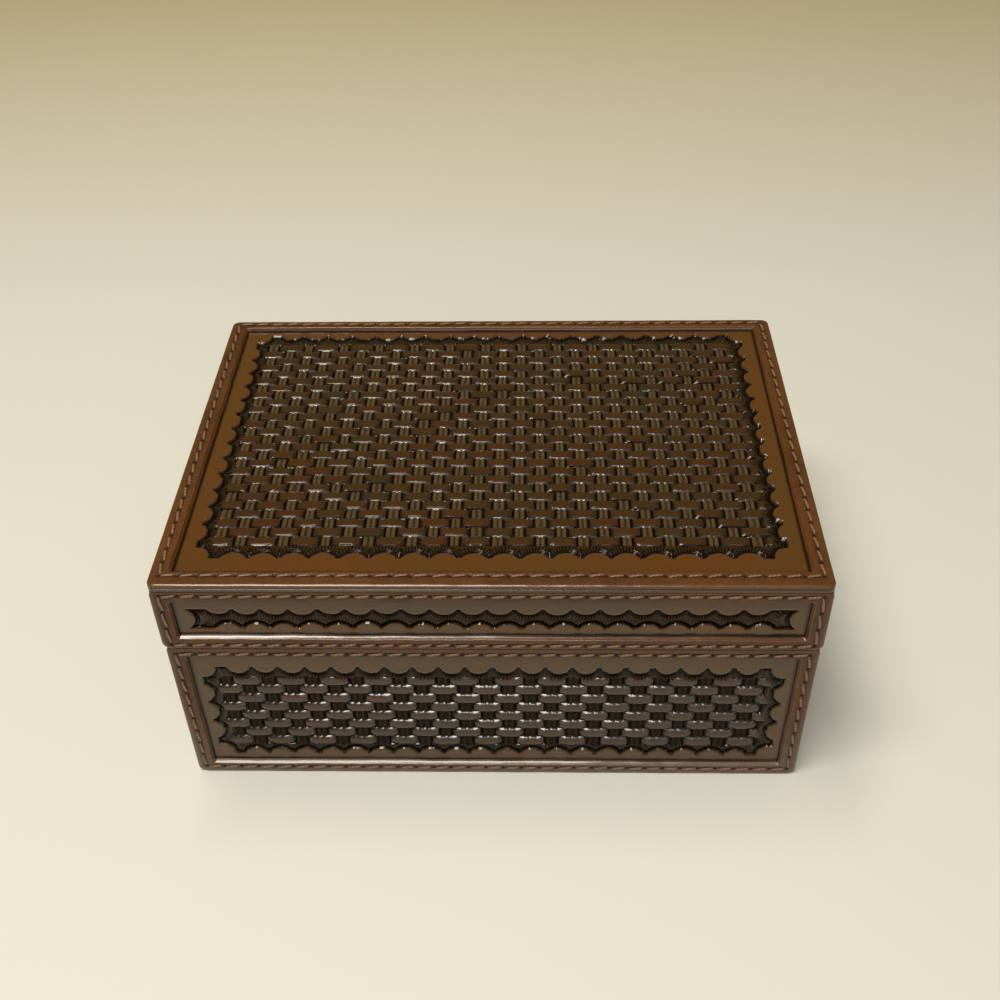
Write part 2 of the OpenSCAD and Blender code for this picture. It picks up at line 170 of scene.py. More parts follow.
class BoxColours(bpy.types.PropertyGroup):
    """Colours of the leather, thread, lining, wood and brass."""
    frame_leather: colour("Frame leather", "Smooth leather of the frames", (0.082, 0.03, 0.0075))
    # Dark of burnished edges, also used as painted shade in the stitch holes and at the frames'
    # joins
    edge_and_shade_dark: colour("Burnished edge", "Rubbed edges and grooves", (0.014, 0.006, 0.003))
    tooled_high: colour("Tooled leather", "Raised parts of the tooling", (0.066, 0.03, 0.009))
    # Antique stain in the hollows, also used as painted shade along the windows' edges
    antique_and_edge_shade: colour("Antique stain", "Stain in the stamped hollows", (0.003, 0.0015, 0.0008))
    thread: colour("Thread", "Waxed thread", (0.18, 0.098, 0.046))
    suede: colour("Suede", "Lining", (0.2, 0.115, 0.06))
    wood: colour("Wood", "Carcass boards", (0.16, 0.075, 0.032))
    brass: colour("Brass", "Hinges and screws", (0.62, 0.42, 0.16))


# Shader maths written as Python expressions

class Varying:
    """A number that varies over a surface. Arithmetic on it adds Math nodes."""

    def __init__(self, shader, socket):
        self.shader = shader
        self.socket = socket

    def _math(self, operation, a, b=None):
        inputs = {0: a} if b is None else {0: a, 1: b}
        node = self.shader.node("ShaderNodeMath", {"operation": operation}, inputs)
        return Varying(self.shader, node.outputs[0])

    def __add__(self, other):
        return self._math("ADD", self, other)

    __radd__ = __add__

    def __sub__(self, other):
        return self._math("SUBTRACT", self, other)

    def __rsub__(self, other):
        return self._math("SUBTRACT", other, self)

    def __mul__(self, other):
        return self._math("MULTIPLY", self, other)

    __rmul__ = __mul__

    def sine(self):
        return self._math("SINE", self)

    def wave(self, wavelength):
        """A sine from -1 to 1 that repeats after that length."""
        return (self * (2 * math.pi / wavelength)).sine()

    def clamped(self):
        """The number kept between 0 and 1."""
        return self._math("MAXIMUM", self._math("MINIMUM", self, 1.0), 0.0)


class Shader:
    """One material's node tree, with a Principled shader to fill in."""

    def __init__(self, name, constants):
        self.material = bpy.data.materials.new(name)
        self.material.use_nodes = True
        self.tree = self.material.node_tree
        self.surface = self.tree.nodes["Principled BSDF"]
        for socket, value in constants.items():
            self.surface.inputs[socket].default_value = value

    def node(self, kind, settings=None, inputs=None):
        """Adds a node: its settings first, then the values or links of its sockets."""
        made = self.tree.nodes.new(kind)
        for key, value in (settings or {}).items():
            if key == "stops":
                ramp = made.color_ramp.elements
                while len(ramp) < len(value):
                    ramp.new(0.5)
                for element, (position, tint) in zip(ramp, value):
                    element.position = position
                    element.color = (*tint, 1)
            else:
                setattr(made, key, value)
        for key, value in (inputs or {}).items():
            self.feed(made.inputs[key], value)
        return made

    def feed(self, socket, value):
        """Links a socket to what varies, or sets it to a constant."""
        if isinstance(value, Varying):
            self.tree.links.new(value.socket, socket)
        elif isinstance(value, bpy.types.NodeSocket):
            self.tree.links.new(value, socket)
        else:
            socket.default_value = value

    def coordinates(self, kind):
        """The three numbers of a point's place: Object in metres, or UV on the piece's face."""
        where = self.node("ShaderNodeTexCoord").outputs[kind]
        parts = self.node("ShaderNodeSeparateXYZ", None, {0: where})
        return [Varying(self, socket) for socket in parts.outputs]

    def place(self, stretch=(1, 1, 1)):
        """Object coordinates in millimetres, stretched along each axis."""
        where = self.node("ShaderNodeTexCoord").outputs["Object"]
        scale = [s / MM for s in stretch]
        return self.node("ShaderNodeMapping", None, {"Vector": where, "Scale": scale}).outputs[0]

    def face_place(self):
        """Millimetres along and up the piece's own face, from its UV map."""
        along, up, _ = self.coordinates("UV")
        return along * (1 / UV_SCALE), up * (1 / UV_SCALE)

    def height(self):
        """Millimetres above the ground."""
        return self.coordinates("Object")[2] * (1 / MM)

    def field(self, name):
        """A number kept on the mesh's points."""
        node = self.node("ShaderNodeAttribute", {"attribute_name": name})
        return Varying(self, node.outputs["Fac"])

    def noise(self, size, detail=3.0, rough=0.55, where=None):
        """Soft noise with blotches of that size in millimetres, about 0.5 on average."""
        node = self.node("ShaderNodeTexNoise", None, {
            "Vector": where or self.place(), "Scale": 1 / size, "Detail": detail,
            "Roughness": rough})
        return Varying(self, node.outputs[0])

    def cells(self, size, where=None):
        """Distance to the nearest of scattered points that far apart, in millimetres."""
        node = self.node("ShaderNodeTexVoronoi", {"feature": "F1"}, {
            "Vector": where or self.place(), "Scale": 1 / size})
        return Varying(self, node.outputs["Distance"])

    def ramp(self, factor, stops):
        """A colour that follows a number through the given stops."""
        return self.node("ShaderNodeValToRGB", {"stops": stops}, {0: factor}).outputs[0]

    def blend(self, factor, a, b, how="MIX"):
        """Colour a blended into colour b."""
        node = self.node("ShaderNodeMix", {"data_type": "RGBA", "blend_type": how})
        self.feed(node.inputs[0], factor)
        self.feed(node.inputs[6], a if not isinstance(a, tuple) else (*a, 1))
        self.feed(node.inputs[7], b if not isinstance(b, tuple) else (*b, 1))
        return node.outputs[2]

    def finish(self, base, rough, relief, relief_mm, coat=None):
        """Feeds colour, roughness, a bump whose full height is given in millimetres, and a coat
        that varies if it is given."""
        if coat is not None:
            self.feed(self.surface.inputs["Coat Weight"], coat)
        self.feed(self.surface.inputs["Base Color"], base)
        self.feed(self.surface.inputs["Roughness"], rough)
        bump = self.node("ShaderNodeBump", None, {
            "Strength": 1.0, "Distance": relief_mm * MM, "Height": relief})
        self.feed(self.surface.inputs["Normal"], bump.outputs[0])
        return self.material


def shade(tint, factor=1.0):
    """A colour made lighter or darker by that factor."""
    return tuple(min(1, c * factor) for c in tint)


def frame_leather_material(colours):
    """Smooth veg-tanned leather: blotchy dye, fine pores, creases; edges and seams darkened, partly
    as burnished leather and partly as painted shade in the stitch holes and at the joins; painted
    highlights on the polished edges; and painted bounce light from the floor near the foot."""
    s = Shader("strap_finish", {"Coat Roughness": 0.15, "Specular IOR Level": 0.2})
    blotch = s.noise(18.0, 4.0)
    mottle = s.noise(2.2, 5.0, 0.65)
    wear = s.noise(0.9, 4.0, 0.7)
    dark, mid = shade(colours.edge_and_shade_dark), shade(colours.frame_leather)
    deep, light = shade(mid, 0.45), shade(mid, 1.55)
    dye = s.ramp(blotch * 0.55 + mottle * 0.45, [(0.28, deep), (0.47, mid), (0.7, light)])
    burnish = s.field("burnish")
    polish = s.field("polish")
    # Painted highlight: polished edges are painted lighter
    base = s.blend(polish * 0.6, dye, light)
    # Painted bounce light from the floor: a pale tint broken up by the mottle, thickest at the foot
    # of the box and gone a third of the way up
    floor_bounce_tint = (0.15, 0.115, 0.08)
    floor_bounce_top = 26
    low = (1 - s.height() * (1 / floor_bounce_top)).clamped()
    base = s.blend((low * (mottle * 1.5 - 0.1)).clamped(), base, floor_bounce_tint)
    # Darkening from burnish and from painted shade in the holes and joins
    base = s.blend((burnish * (0.7 + wear * 0.7)).clamped(), base, dark)
    pores = s.cells(0.55)
    creases = s.noise(1.6, 6.0, 0.7)
    rough = 0.4 + 0.22 * mottle - 0.25 * polish
    coat = ((0.24 + polish * 0.76) * (1 - burnish * 0.9)).clamped()
    return s.finish(base, rough, pores * 0.35 + creases * 0.65, 0.09, coat)


def tooled_leather_material(colours):
    """Stamped leather under lacquer: dark antique in the hollows, painted shade along the window's
    edge, ribs on the strands of the weave with a painted highlight on the top's strands, and fine
    rays round each lobe of the border."""
    s = Shader("tooling_finish", {"Coat Roughness": 0.13, "Specular IOR Level": 0.07})
    along, up = s.face_place()
    relief = s.field("relief")
    strand = s.field("strand")
    ray = s.field("ray")
    ray_share = s.field("ray_share")
    ribs = (up + along * 0.4).wave(0.6) * strand
    rays = ray.wave(0.58) * ray_share
    stain = s.noise(3.5, 4.0, 0.6)
    fine = s.noise(0.7, 5.0, 0.7)
    patch = s.noise(34.0, 2.0, 0.5)
    rub = s.field("rub")
    level = relief + (stain - 0.5) * 0.32 + (fine - 0.5) * 0.3
    # Painted highlight: the top's strands are lightened, most on their ribs
    level = level + (rays - ray_share * 0.45) * 0.4 + rub * (0.3 + ribs * 0.4)
    low, high = shade(colours.antique_and_edge_shade), shade(colours.tooled_high)
    deep = tuple(l * 0.72 + h * 0.28 for l, h in zip(low, high))
    bright = shade(high, 1.3)
    dye = s.ramp(level.clamped(), [(0.18, low), (0.5, deep), (0.78, high), (1.0, bright)])
    olive, tan = (0.8, 1.1, 1.0), (1.3, 0.9, 0.5)
    tint = s.ramp((s.field("tone") + (patch - 0.5) * 1.1).clamped(), [(0.1, olive), (0.9, tan)])
    base = s.blend(1.0, dye, tint, "MULTIPLY")
    # The stamped parts are darker, but less so where the strands carry the painted highlight
    base = s.blend(((1 - s.field("plain")) * 0.45 - rub * 0.5).clamped(), base, low)
    # Painted highlight: the ribs of the top's strands are painted pale, as lit leather
    pale = (0.24, 0.17, 0.075)
    strand_glint = (rub * 1.5 - 0.7).clamped() * (0.4 + ribs * 0.5)
    base = s.blend(strand_glint.clamped(), base, pale)
    grain = s.cells(0.45)
    rough = 0.32 + 0.24 * fine + 0.1 * (1 - relief)
    bumps = ribs * 0.85 + rays * 0.85 + grain * 0.22 + fine * 0.4
    coat = s.field("gloss").clamped()
    return s.finish(base, rough, bumps, 0.13, coat)


def thread_material(colours):
    """Waxed two-ply thread: its plies wind round the length of each stitch."""
    s = Shader("waxed_thread", {"Coat Weight": 0.35, "Coat Roughness": 0.3})
    along, around = s.face_place()
    lay = 1.25
    plies = (along * (1 / lay) + around).wave(1)
    fuzz = s.noise(0.25, 3.0, 0.7)
    tint = shade(colours.thread)
    dark, light = shade(tint, 0.22), shade(tint, 1.7)
    # The ply wave also shades the colour, darker between the plies: painted shade
    level = 0.52 + plies * 0.15 + (fuzz - 0.5) * 0.6
    dye = s.ramp(level.clamped(), [(0.1, dark), (0.5, tint), (0.95, light)])
    # Painted shade where each stitch dives into its hole
    base = s.blend(s.field("burnish"), dye, dark)
    return s.finish(base, 0.45 + 0.2 * fuzz, plies * 0.5 + fuzz * 0.4, 0.07)


def suede_material(colours):
    """Suede: brushed nap in light and dark patches, with short fibres."""
    s = Shader("suede_nap", {"Sheen Weight": 0.5, "Sheen Roughness": 0.5,
                             "Specular IOR Level": 0.15})
    patches = s.noise(9.0, 3.0, 0.6)
    fibres = s.noise(0.35, 4.0, 0.75)
    tint = shade(colours.suede)
    dark, light = shade(tint, 0.6), shade(tint, 1.4)
    dye = s.ramp(patches * 0.6 + fibres * 0.4, [(0.3, dark), (0.5, tint), (0.72, light)])
    return s.finish(dye, 0.85 + 0.1 * fibres, fibres, 0.12)


def wood_material(colours, name, stretch):
    """Stained wood: rings drawn out along the board, with open pores."""
    s = Shader(name, {"Coat Weight": 0.1, "Coat Roughness": 0.4})
    where = s.place(stretch)
    rings = s.noise(1.3, 3.0, 0.5, where)
    pores = s.noise(0.4, 2.0, 0.6, where)
    tint = shade(colours.wood)
    dark, light = shade(tint, 0.45), shade(tint, 1.5)
    bands = ((rings * 22.0).sine() * 0.5 + 0.5) * 0.6 + pores * 0.4
    dye = s.ramp(bands, [(0.15, dark), (0.5, tint), (0.85, light)])
    return s.finish(dye, 0.45 + 0.2 * pores, bands, 0.08)


def brass_material(colours):
    """Drawn brass, dulled in patches and scratched along the hinge."""
    s = Shader("hinge_brass", {"Metallic": 1.0})
    drawn = s.noise(0.25, 3.0, 0.6, s.place((0.06, 1, 1)))
    dull = s.noise(4.0, 4.0, 0.6)
    tint = shade(colours.brass)
    dark = tuple(c * f for c, f in zip(tint, (0.55, 0.48, 0.4)))
    dye = s.ramp(dull * 0.7 + drawn * 0.3, [(0.35, dark), (0.6, tint)])
    return s.finish(dye, 0.24 + 0.3 * dull, drawn, 0.02)


# Mesh building from whole arrays

def new_piece(name, points, faces, material, body, replaces, uv=None, fields=None,
              sharp=50):
    """Makes a piece of the object from an array of points and arrays of face corners, puts it on
    its body and in the place of its CAD node."""
    mesh = bpy.data.meshes.new(name)
    points = np.asarray(points, np.float32).reshape(-1, 3)
    corners = np.concatenate([f.ravel() for f in faces]).astype(np.int32)
    totals = np.concatenate([np.full(len(f), f.shape[1]) for f in faces]).astype(np.int32)
    starts = np.concatenate([[0], np.cumsum(totals)[:-1]]).astype(np.int32)
    mesh.vertices.add(len(points))
    mesh.vertices.foreach_set("co", points.ravel())
    mesh.loops.add(len(corners))
    mesh.loops.foreach_set("vertex_index", corners)
    mesh.polygons.add(len(totals))
    mesh.polygons.foreach_set("loop_start", starts)
    mesh.polygons.foreach_set("loop_total", totals)
    mesh.update(calc_edges=True)
    mesh.shade_smooth()
    mesh.set_sharp_from_angle(angle=math.radians(sharp))
    if uv is not None:
        layer = mesh.uv_layers.new(name="face")
        layer.data.foreach_set("uv", np.asarray(uv, np.float32)[corners].ravel())
    for key, values in (fields or {}).items():
        attribute = mesh.attributes.new(key, "FLOAT", "POINT")
        attribute.data.foreach_set("value", np.asarray(values, np.float32).ravel())
    return finish_piece(name, mesh, material, body, replaces)


def finish_piece(name, mesh, material, body, replaces):
    """Wraps a mesh in an object with its material, puts it on its body and hides its CAD node."""
    mesh.materials.append(material)
    piece = bpy.data.objects.new(name, mesh)
    bpy.context.scene.collection.objects.link(piece)
    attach(piece, body)
    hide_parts(replaces)
    return piece


def strip_quads(rows, columns, round_columns=False, round_rows=False):
    """Quads of a grid of points, row by row, closed round its columns or rows if asked."""
    i = np.arange(rows if round_rows else rows - 1)[:, None]
    j = np.arange(columns if round_columns else columns - 1)[None, :]
    i2, j2 = (i + 1) % rows, (j + 1) % columns
    return np.stack([i * columns + j, i * columns + j2, i2 * columns + j2, i2 * columns + j],
                    axis=-1).reshape(-1, 4)


def smooth_step(x):
    """0 below 0, 1 above 1, smooth in between."""
    t = np.clip(x, 0, 1)
    return t * t * (3 - 2 * t)


def waver(x, seed, wavelength):
    """A gentle random wave along x, from -1 to 1: three sines of unrelated lengths."""
    rng = np.random.default_rng(seed)
    phases = rng.uniform(0, 2 * math.pi, 3)
    lengths = wavelength * np.array([1.0, 0.47, 0.23])
    shares = (0.55, 0.3, 0.15)
    return sum(a * np.sin(2 * math.pi * x / l + p) for a, l, p in zip(shares, lengths, phases))


class Layer:
    """The place of a CAD node that lies flat on one face, in that face's own directions."""

    def __init__(self, node, face):
        self.axes = [np.array(axis, float) for axis in FACES[face]]
        low, high = (np.array(corner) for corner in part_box(node))
        spans = [sorted((float(low @ axis), float(high @ axis))) for axis in self.axes]
        (self.u0, self.u1), (self.v0, self.v1), (self.n0, self.n1) = spans

    def points(self, u, v, n):
        """Points in the box's frame from distances along, up and out of the face."""
        parts = [np.asarray(w)[..., None] * axis for w, axis in zip((u, v, n), self.axes)]
        return (parts[0] + parts[1] + parts[2]).reshape(-1, 3)


def rounded_loop(u0, u1, v0, v1, radius, along, up, arc):
    """A rectangle with round corners, anticlockwise from its lower left: points at the given
    fractions of the straight sides, and a quarter circle at each corner."""
    r = max(radius, 1e-6)
    left, right, low, high = u0 + r, u1 - r, v0 + r, v1 - r
    turn = (np.arange(arc) + 1) / (arc + 1) * math.pi / 2
    us, vs = [], []

    def side(ua, va, ub, vb, share):
        us.append(ua + (ub - ua) * share)
        vs.append(va + (vb - va) * share)

    def corner(cu, cv, start):
        us.append(cu + r * np.cos(start + turn))
        vs.append(cv + r * np.sin(start + turn))

    side(left, v0, right, v0, along)
    corner(right, low, -math.pi / 2)
    side(u1, low, u1, high, up)
    corner(right, high, 0)
    side(right, v1, left, v1, 1 - along[::-1])
    corner(left, high, math.pi / 2)
    side(u0, high, u0, low, 1 - up[::-1])
    corner(left, low, math.pi)
    return np.concatenate(us), np.concatenate(vs)


# Seams

class Seam:
    """The four rows of stitches round a frame: each has its start, its direction along and up,
    its length and its number of stitches."""

    def __init__(self, outline, insets, pitch, groove):
        u0, u1, v0, v1 = outline
        side, below, above = insets
        left, right, low, high = u0 + side, u1 - side, v0 + below, v1 - above
        self.groove = groove
        self.rows = []
        for ua, va, ub, vb in ((left, low, right, low), (left, high, right, high),
                               (left, low, left, high), (right, low, right, high)):
            span = math.hypot(ub - ua, vb - va)
            self.rows.append((ua, va, (ub - ua) / span, (vb - va) / span, span,
                              max(1, int(span / pitch))))

    def dent(self, u, v):
        """Depth of the dent at each point, and how dark it is: painted shade in the holes, and a
        lighter darkening along the groove. The groove is a bell curve across the row, and round
        each stitch's end there is a hole with steep sides and a flat floor."""
        groove = np.zeros_like(u)
        holes = np.zeros_like(u)
        for ua, va, eu, ev, span, count in self.rows:
            s = (u - ua) * eu + (v - va) * ev
            across = np.abs((v - va) * eu - (u - ua) * ev)
            inside = smooth_step((s + HOLE_LENGTH) / HOLE_LENGTH) * smooth_step(
                (span + HOLE_LENGTH - s) / HOLE_LENGTH)
            step = span / count
            to_hole = np.abs(s - np.round(s / step) * step)
            groove = np.maximum(groove, np.exp(-(across / GROOVE_WIDTH) ** 2) * inside)
            spot = np.exp(-(to_hole / HOLE_LENGTH) ** 4 - (across / HOLE_WIDTH) ** 4) * inside
            holes = np.maximum(holes, spot)
        return self.groove * groove + HOLE_DEPTH * holes, np.maximum(groove * 0.4, holes)


# Frames

def frame_profile(sizes, strip, thick):
    """A frame's cross-section as rows of points, each with its share of the way from window to
    outline, its inset from the outline as a share of the outer rounding, and its height. It
    runs up the leaning window edge, round it, over the strip, round and down the outer edge."""
    inner_round = 0.3 * MM
    rows = [(0.0, 0.0, 0.0), (0.3 * sizes.slope / strip, 0.0, 0.42 * MM),
            (0.42 * sizes.slope / strip, 0.0, 0.58 * MM)]
    for turn in np.linspace(0, math.pi / 2, 4):
        rows.append(((sizes.slope + inner_round * (1 - math.cos(turn))) / strip, 0.0,
                     thick - inner_round * (1 - math.sin(turn))))
    first = (sizes.slope + inner_round) / strip
    for share in np.linspace(first, 1 - 1.2 * MM / strip, 15)[1:]:
        rows.append((float(share), 0.0, thick))
    # The outer edge is rounded, with a flat bevel in its middle that catches the light
    for inset, drop in ((1.0, 0.0), (0.8, 0.03), (0.62, 0.1), (0.54, 0.15), (0.28, 0.31),
                        (0.2, 0.36), (0.07, 0.6), (0.0, 1.0)):
        rows.append((1.0, inset, thick - drop * sizes.edge))
    rows.append((1.0, 0.0, 0.25 * MM))
    rows.append((1.0, 0.12, 0.0))
    return rows, first


def leather_frame(name, face, node, panel_node, strips, seam, corner, material, body, sizes,
                  seed, notches=()):
    """A window-cut frame. Its cross-section is carried round a family of rounded rectangles that
    runs from the window to the outline: up the window's edge, over the strip with the seam's
    groove, round the outer edge, down it and back underneath."""
    layer, outer = Layer(node, face), Layer(panel_node, face)
    strip_u, low, high = strips
    thick = layer.n1 - layer.n0
    wide, tall = outer.u1 - outer.u0, outer.v1 - outer.v0
    mid_u, mid_v = (outer.u0 + outer.u1) / 2, (outer.v0 + outer.v1) / 2
    step = 0.48 * MM
    along = np.linspace(0, 1, max(8, int(wide / step)))
    up = np.linspace(0, 1, max(8, int(tall / step)))
    for centre, half in notches:
        for edge in (centre - half, centre + half):
            share = (edge - outer.u0 - corner) / (wide - 2 * corner)
            at = int(round(share * (len(along) - 1)))
            along[at] = share
            along[at + 1] = share + 0.03 * MM / wide
    edge_u = corner if corner > 1 * MM and face != "top" else sizes.edge
    edge_v = sizes.edge
    window_corner = 0.5 * MM
    rows, first = frame_profile(sizes, strip_u, thick)
    rng = np.random.default_rng(seed)
    tilt = rng.uniform(-1, 1, 4) * sizes.waver * 1.6
    us, vs, ns = [], [], []
    for share, inset, height in rows:
        back = 1 - share
        loop_u, loop_v = rounded_loop(
            outer.u0 + strip_u * back + edge_u * inset, outer.u1 - strip_u * back - edge_u * inset,
            outer.v0 + low * back + edge_v * inset, outer.v1 - high * back - edge_v * inset,
            window_corner + (corner - window_corner) * share, along, up, 5)
        # The window's edges are a little crooked, and the outline is not
        rel_u, rel_v = (loop_u - mid_u) / wide, (loop_v - mid_v) / tall
        loop_v = loop_v + back * (tilt[0] * rel_u * np.sign(rel_v) * 2 + tilt[1] * 0.5
                                  + sizes.waver * waver(loop_u, seed, 60 * MM) * np.sign(rel_v))
        loop_u = loop_u + back * (tilt[2] * rel_v * np.sign(rel_u) * 2
                                  + sizes.waver * waver(loop_v, seed + 7, 45 * MM) * np.sign(rel_u))
        us.append(loop_u)
        vs.append(loop_v)
        ns.append(np.full_like(loop_u, height))
    u, v, n = np.array(us), np.array(vs), np.array(ns)
    dent, dark = seam.dent(u, v)
    top = n > thick - 0.12 * MM
    swell = 0.05 * MM * (waver(u + v, seed + 3, 22 * MM) - 1)
    n = n - np.where(top, dent, 0) + np.where(n > 0.3 * MM, swell, 0)
    # Beside a hinge the rim's edge is pushed back, and the leather behind it is squeezed
    rim_v, inward = (outer.v1, -NOTCH_DEPTH) if body == "base" else (outer.v0, NOTCH_DEPTH)
    squeezed = 1.7 * MM
    for centre, half in notches:
        share = np.clip(1 - np.abs(v - rim_v) / squeezed, 0, 1)
        v = v + np.where(np.abs(u - centre) < half + 0.01 * MM, share, 0) * inward
    to_edge = np.minimum(np.minimum(u - outer.u0, outer.u1 - u),
                         np.minimum(v - outer.v0, outer.v1 - v))
    rim = np.exp(-np.clip(to_edge, 0, None) / (0.8 * MM))
    # The window's edge and the outer edge are polished and painted lighter as a painted highlight,
    # most on the lid, and hardly at the window's foot
    inner = np.array([1.0 if row[0] < first * 0.98 else 0.0 for row in rows])[:, None]
    inner = inner * (0.6 if body == "base" else 1.0)
    inner[:2] = 0.2
    polish = np.maximum(inner, 0.9 * rim) * np.ones_like(u)
    # Painted shade: the seam's holes and groove, and the foot of each edge where the frame meets
    # the leather below, are darkened
    foot_shade = np.array([1.0 if row[2] < 0.45 * MM else 0.0 for row in rows])[:, None]
    burnish = np.clip(dark * top * 1.15 + 0.9 * foot_shade, 0, 1)
    points = layer.points(u, v, layer.n0 + n)
    faces = [strip_quads(u.shape[0], u.shape[1], round_columns=True, round_rows=True)]
    uv = np.stack([u.ravel(), v.ravel()], axis=1) / MM * UV_SCALE
    return new_piece(name, points, faces, material, body, node, uv,
                     {"burnish": burnish, "polish": polish})


def thread_seam(name, face, node, seam, surface, material, body, sizes, seed):
    """The stitches of a seam. Each is a flattened tube that rises out of one hole, lies on the
    leather and dives into the next: height = rise - fall * (distance from the middle) ** 7."""
    layer = Layer(node, face)
    rng = np.random.default_rng(seed)
    around, along = 8, 9
    t = np.linspace(-1, 1, along)
    phi = np.arange(around) / around * 2 * math.pi
    half_wide, half_high = sizes.thread / 2, 0.25 * MM
    rise, fall = 0.06 * MM, 0.42 * MM
    parts, uvs, dive_shades = [], [], []
    for ua, va, eu, ev, span, count in seam.rows:
        step = span / count
        for i in range(count):
            slant = math.tan(sizes.slant + rng.normal(0, 0.02))
            reach = step * (0.41 + rng.uniform(-0.01, 0.01))
            s = (i + 0.5) * step + t * reach
            across = t * reach * slant + rng.normal(0, 0.05 * MM)
            height = rise - fall * np.abs(t) ** 7 + rng.normal(0, 0.015 * MM)
            thin = 1 - 0.35 * np.abs(t) ** 5
            side = across[:, None] + half_wide * thin[:, None] * np.cos(phi)[None, :]
            n = height[:, None] + half_high * thin[:, None] * np.sin(phi)[None, :]
            s2 = np.broadcast_to(s[:, None], side.shape)
            parts.append(np.stack([ua + s2 * eu - side * ev, va + s2 * ev + side * eu, n], -1))
            turn = np.broadcast_to(phi[None, :] / (2 * math.pi), side.shape)
            uvs.append(np.stack([s2 / MM * UV_SCALE, turn * UV_SCALE], -1).reshape(-1, 2))
            # Each stitch's ends carry painted shade, where they dive into the holes
            dive_shades.append(np.broadcast_to(np.abs(t)[:, None] ** 5 * 0.8, side.shape).ravel())
    stitches = np.array(parts)
    u, v, n = stitches[..., 0], stitches[..., 1], stitches[..., 2]
    points = layer.points(u, v, surface + n)
    one = strip_quads(along, around, round_columns=True)
    ring = np.arange(around)
    offsets = np.arange(len(parts))[:, None, None] * along * around
    quads = (one[None] + offsets).reshape(-1, 4)
    ends = np.stack([ring[::-1], ring + (along - 1) * around])
    caps = (ends[None] + offsets).reshape(-1, around)
    return new_piece(name, points, [quads, caps], material, body, node,
                     np.concatenate(uvs), {"burnish": np.concatenate(dive_shades)}, sharp=180)


# Tooled panels

class Field:
    """Where one panel is stamped: the field's middle and size, its weave, and the circles of
    plain leather along its edges, jittered as hand stamping is."""

    def __init__(self, layer, part, face, tooling, seed):
        strip, low, high = strips_of(part, face)
        end, below, above = margins_of(part, face)
        self.width = layer.u1 - layer.u0 - 2 * (strip + end)
        self.height = layer.v1 - layer.v0 - low - high - below - above
        self.centre = ((layer.u0 + layer.u1) / 2, layer.v0 + low + below + self.height / 2)
        self.woven = part == "base" or face == "top"
        self.rows = max(1, int((self.height - 2 * tooling.border + tooling.row_pitch / 2)
                               / tooling.row_pitch))
        self.pad_pitch = tooling.top_pad_pitch if face == "top" else tooling.base_pad_pitch
        self.shift = -(tooling.top_shift if face == "top" else tooling.base_shift)
        self.half_weave = self.rows * tooling.row_pitch / 2
        self.room_u = self.width / 2 - tooling.border
        # How far a pad's lower edge curves up at its ends, and the width of its bevel
        self.boat = 0.15 if face == "top" else 0.42
        self.bevel = 0 if face == "top" else 0.52 * MM
        self.circles = []
        rng = np.random.default_rng(seed)
        half_w, half_h = self.width / 2, self.height / 2
        if self.woven:
            reach = tooling.top_reach if face == "top" else tooling.base_reach
            pitch = tooling.top_lobe_pitch if face == "top" else tooling.lobe_pitch
            room = 2 * tooling.corner_room
            rows = [(0, self.width - room, half_h, pitch, 0),
                    (1, self.height - room, half_w, tooling.lobe_pitch, 0)]
            cu, cv = half_w - tooling.corner_in, half_h - tooling.corner_in
            diagonal = 0.7071
            self.circles += [(su * cu, sv * cv, tooling.corner_lobe, -su * diagonal,
                              -sv * diagonal) for su in (-1, 1) for sv in (-1, 1)]
        else:
            reach = tooling.lid_reach
            rows = [(0, self.width - 2 * tooling.lid_end_room, half_h, tooling.lobe_pitch,
                     tooling.lid_row_shift / 2),
                    (1, self.height, half_w, self.height, 0)]
        for turn, run, half, pitch, shift in rows:
            for facing in (turn, turn + 2):
                self.lobe_row(facing, run, half, pitch, shift, reach, tooling.lobe_gap, rng)

    def lobe_row(self, turn, run, half, pitch, shift, reach, gap, rng):
        """One row of circles along the edge that lies so many quarter turns round from the lower
        one. Each goes through the ends of its chord: r = (c^2 + reach^2) / 2reach."""
        count = max(1, round(run / pitch))
        chord = (run / count - gap) / 2
        radius = (chord ** 2 + reach ** 2) / (2 * reach)
        cos, sin = math.cos(turn * math.pi / 2), math.sin(turn * math.pi / 2)
        for i in range(count):
            x = (i + 0.5) * run / count - run / 2 + shift + rng.normal(0, 0.09 * MM)
            y = reach - radius - half + rng.normal(0, 0.1 * MM)
            self.circles.append((x * cos - y * sin, x * sin + y * cos,
                                 radius + rng.normal(0, 0.04 * MM), -sin, cos))

    def measure(self, u, v):
        """Signed distance to the outline, positive in the stamped field, with the direction of
        its growth, the length along the nearest lobe's arc, and how far round from the middle of
        the arc that is: 1 in the middle, 0 at a right angle to it."""
        x, y = u - self.centre[0], v - self.centre[1]
        best = np.full(u.shape, 1.0)
        gu, gv, arc, facing = (np.zeros_like(u) for _ in range(4))
        for cx, cy, radius, inward_u, inward_v in self.circles:
            du, dv = x - cx, y - cy
            far = np.hypot(du, dv)
            d = far - radius
            near = d < best
            best = np.where(near, d, best)
            safe = np.maximum(far, 1e-6)
            gu = np.where(near, du / safe, gu)
            gv = np.where(near, dv / safe, gv)
            arc = np.where(near, np.arctan2(dv, du) * radius, arc)
            facing = np.where(near, (du * inward_u + dv * inward_v) / safe, facing)
        edge_u = self.width / 2 - np.abs(x)
        edge_v = self.height / 2 - np.abs(y)
        edge = np.minimum(edge_u, edge_v)
        outside = edge < best
        gu = np.where(outside, np.where(edge_u < edge_v, -np.sign(x), 0), gu)
        gv = np.where(outside, np.where(edge_u < edge_v, 0, -np.sign(y)), gv)
        return np.minimum(best, edge), gu, gv, arc, np.clip(facing, 0, 1)


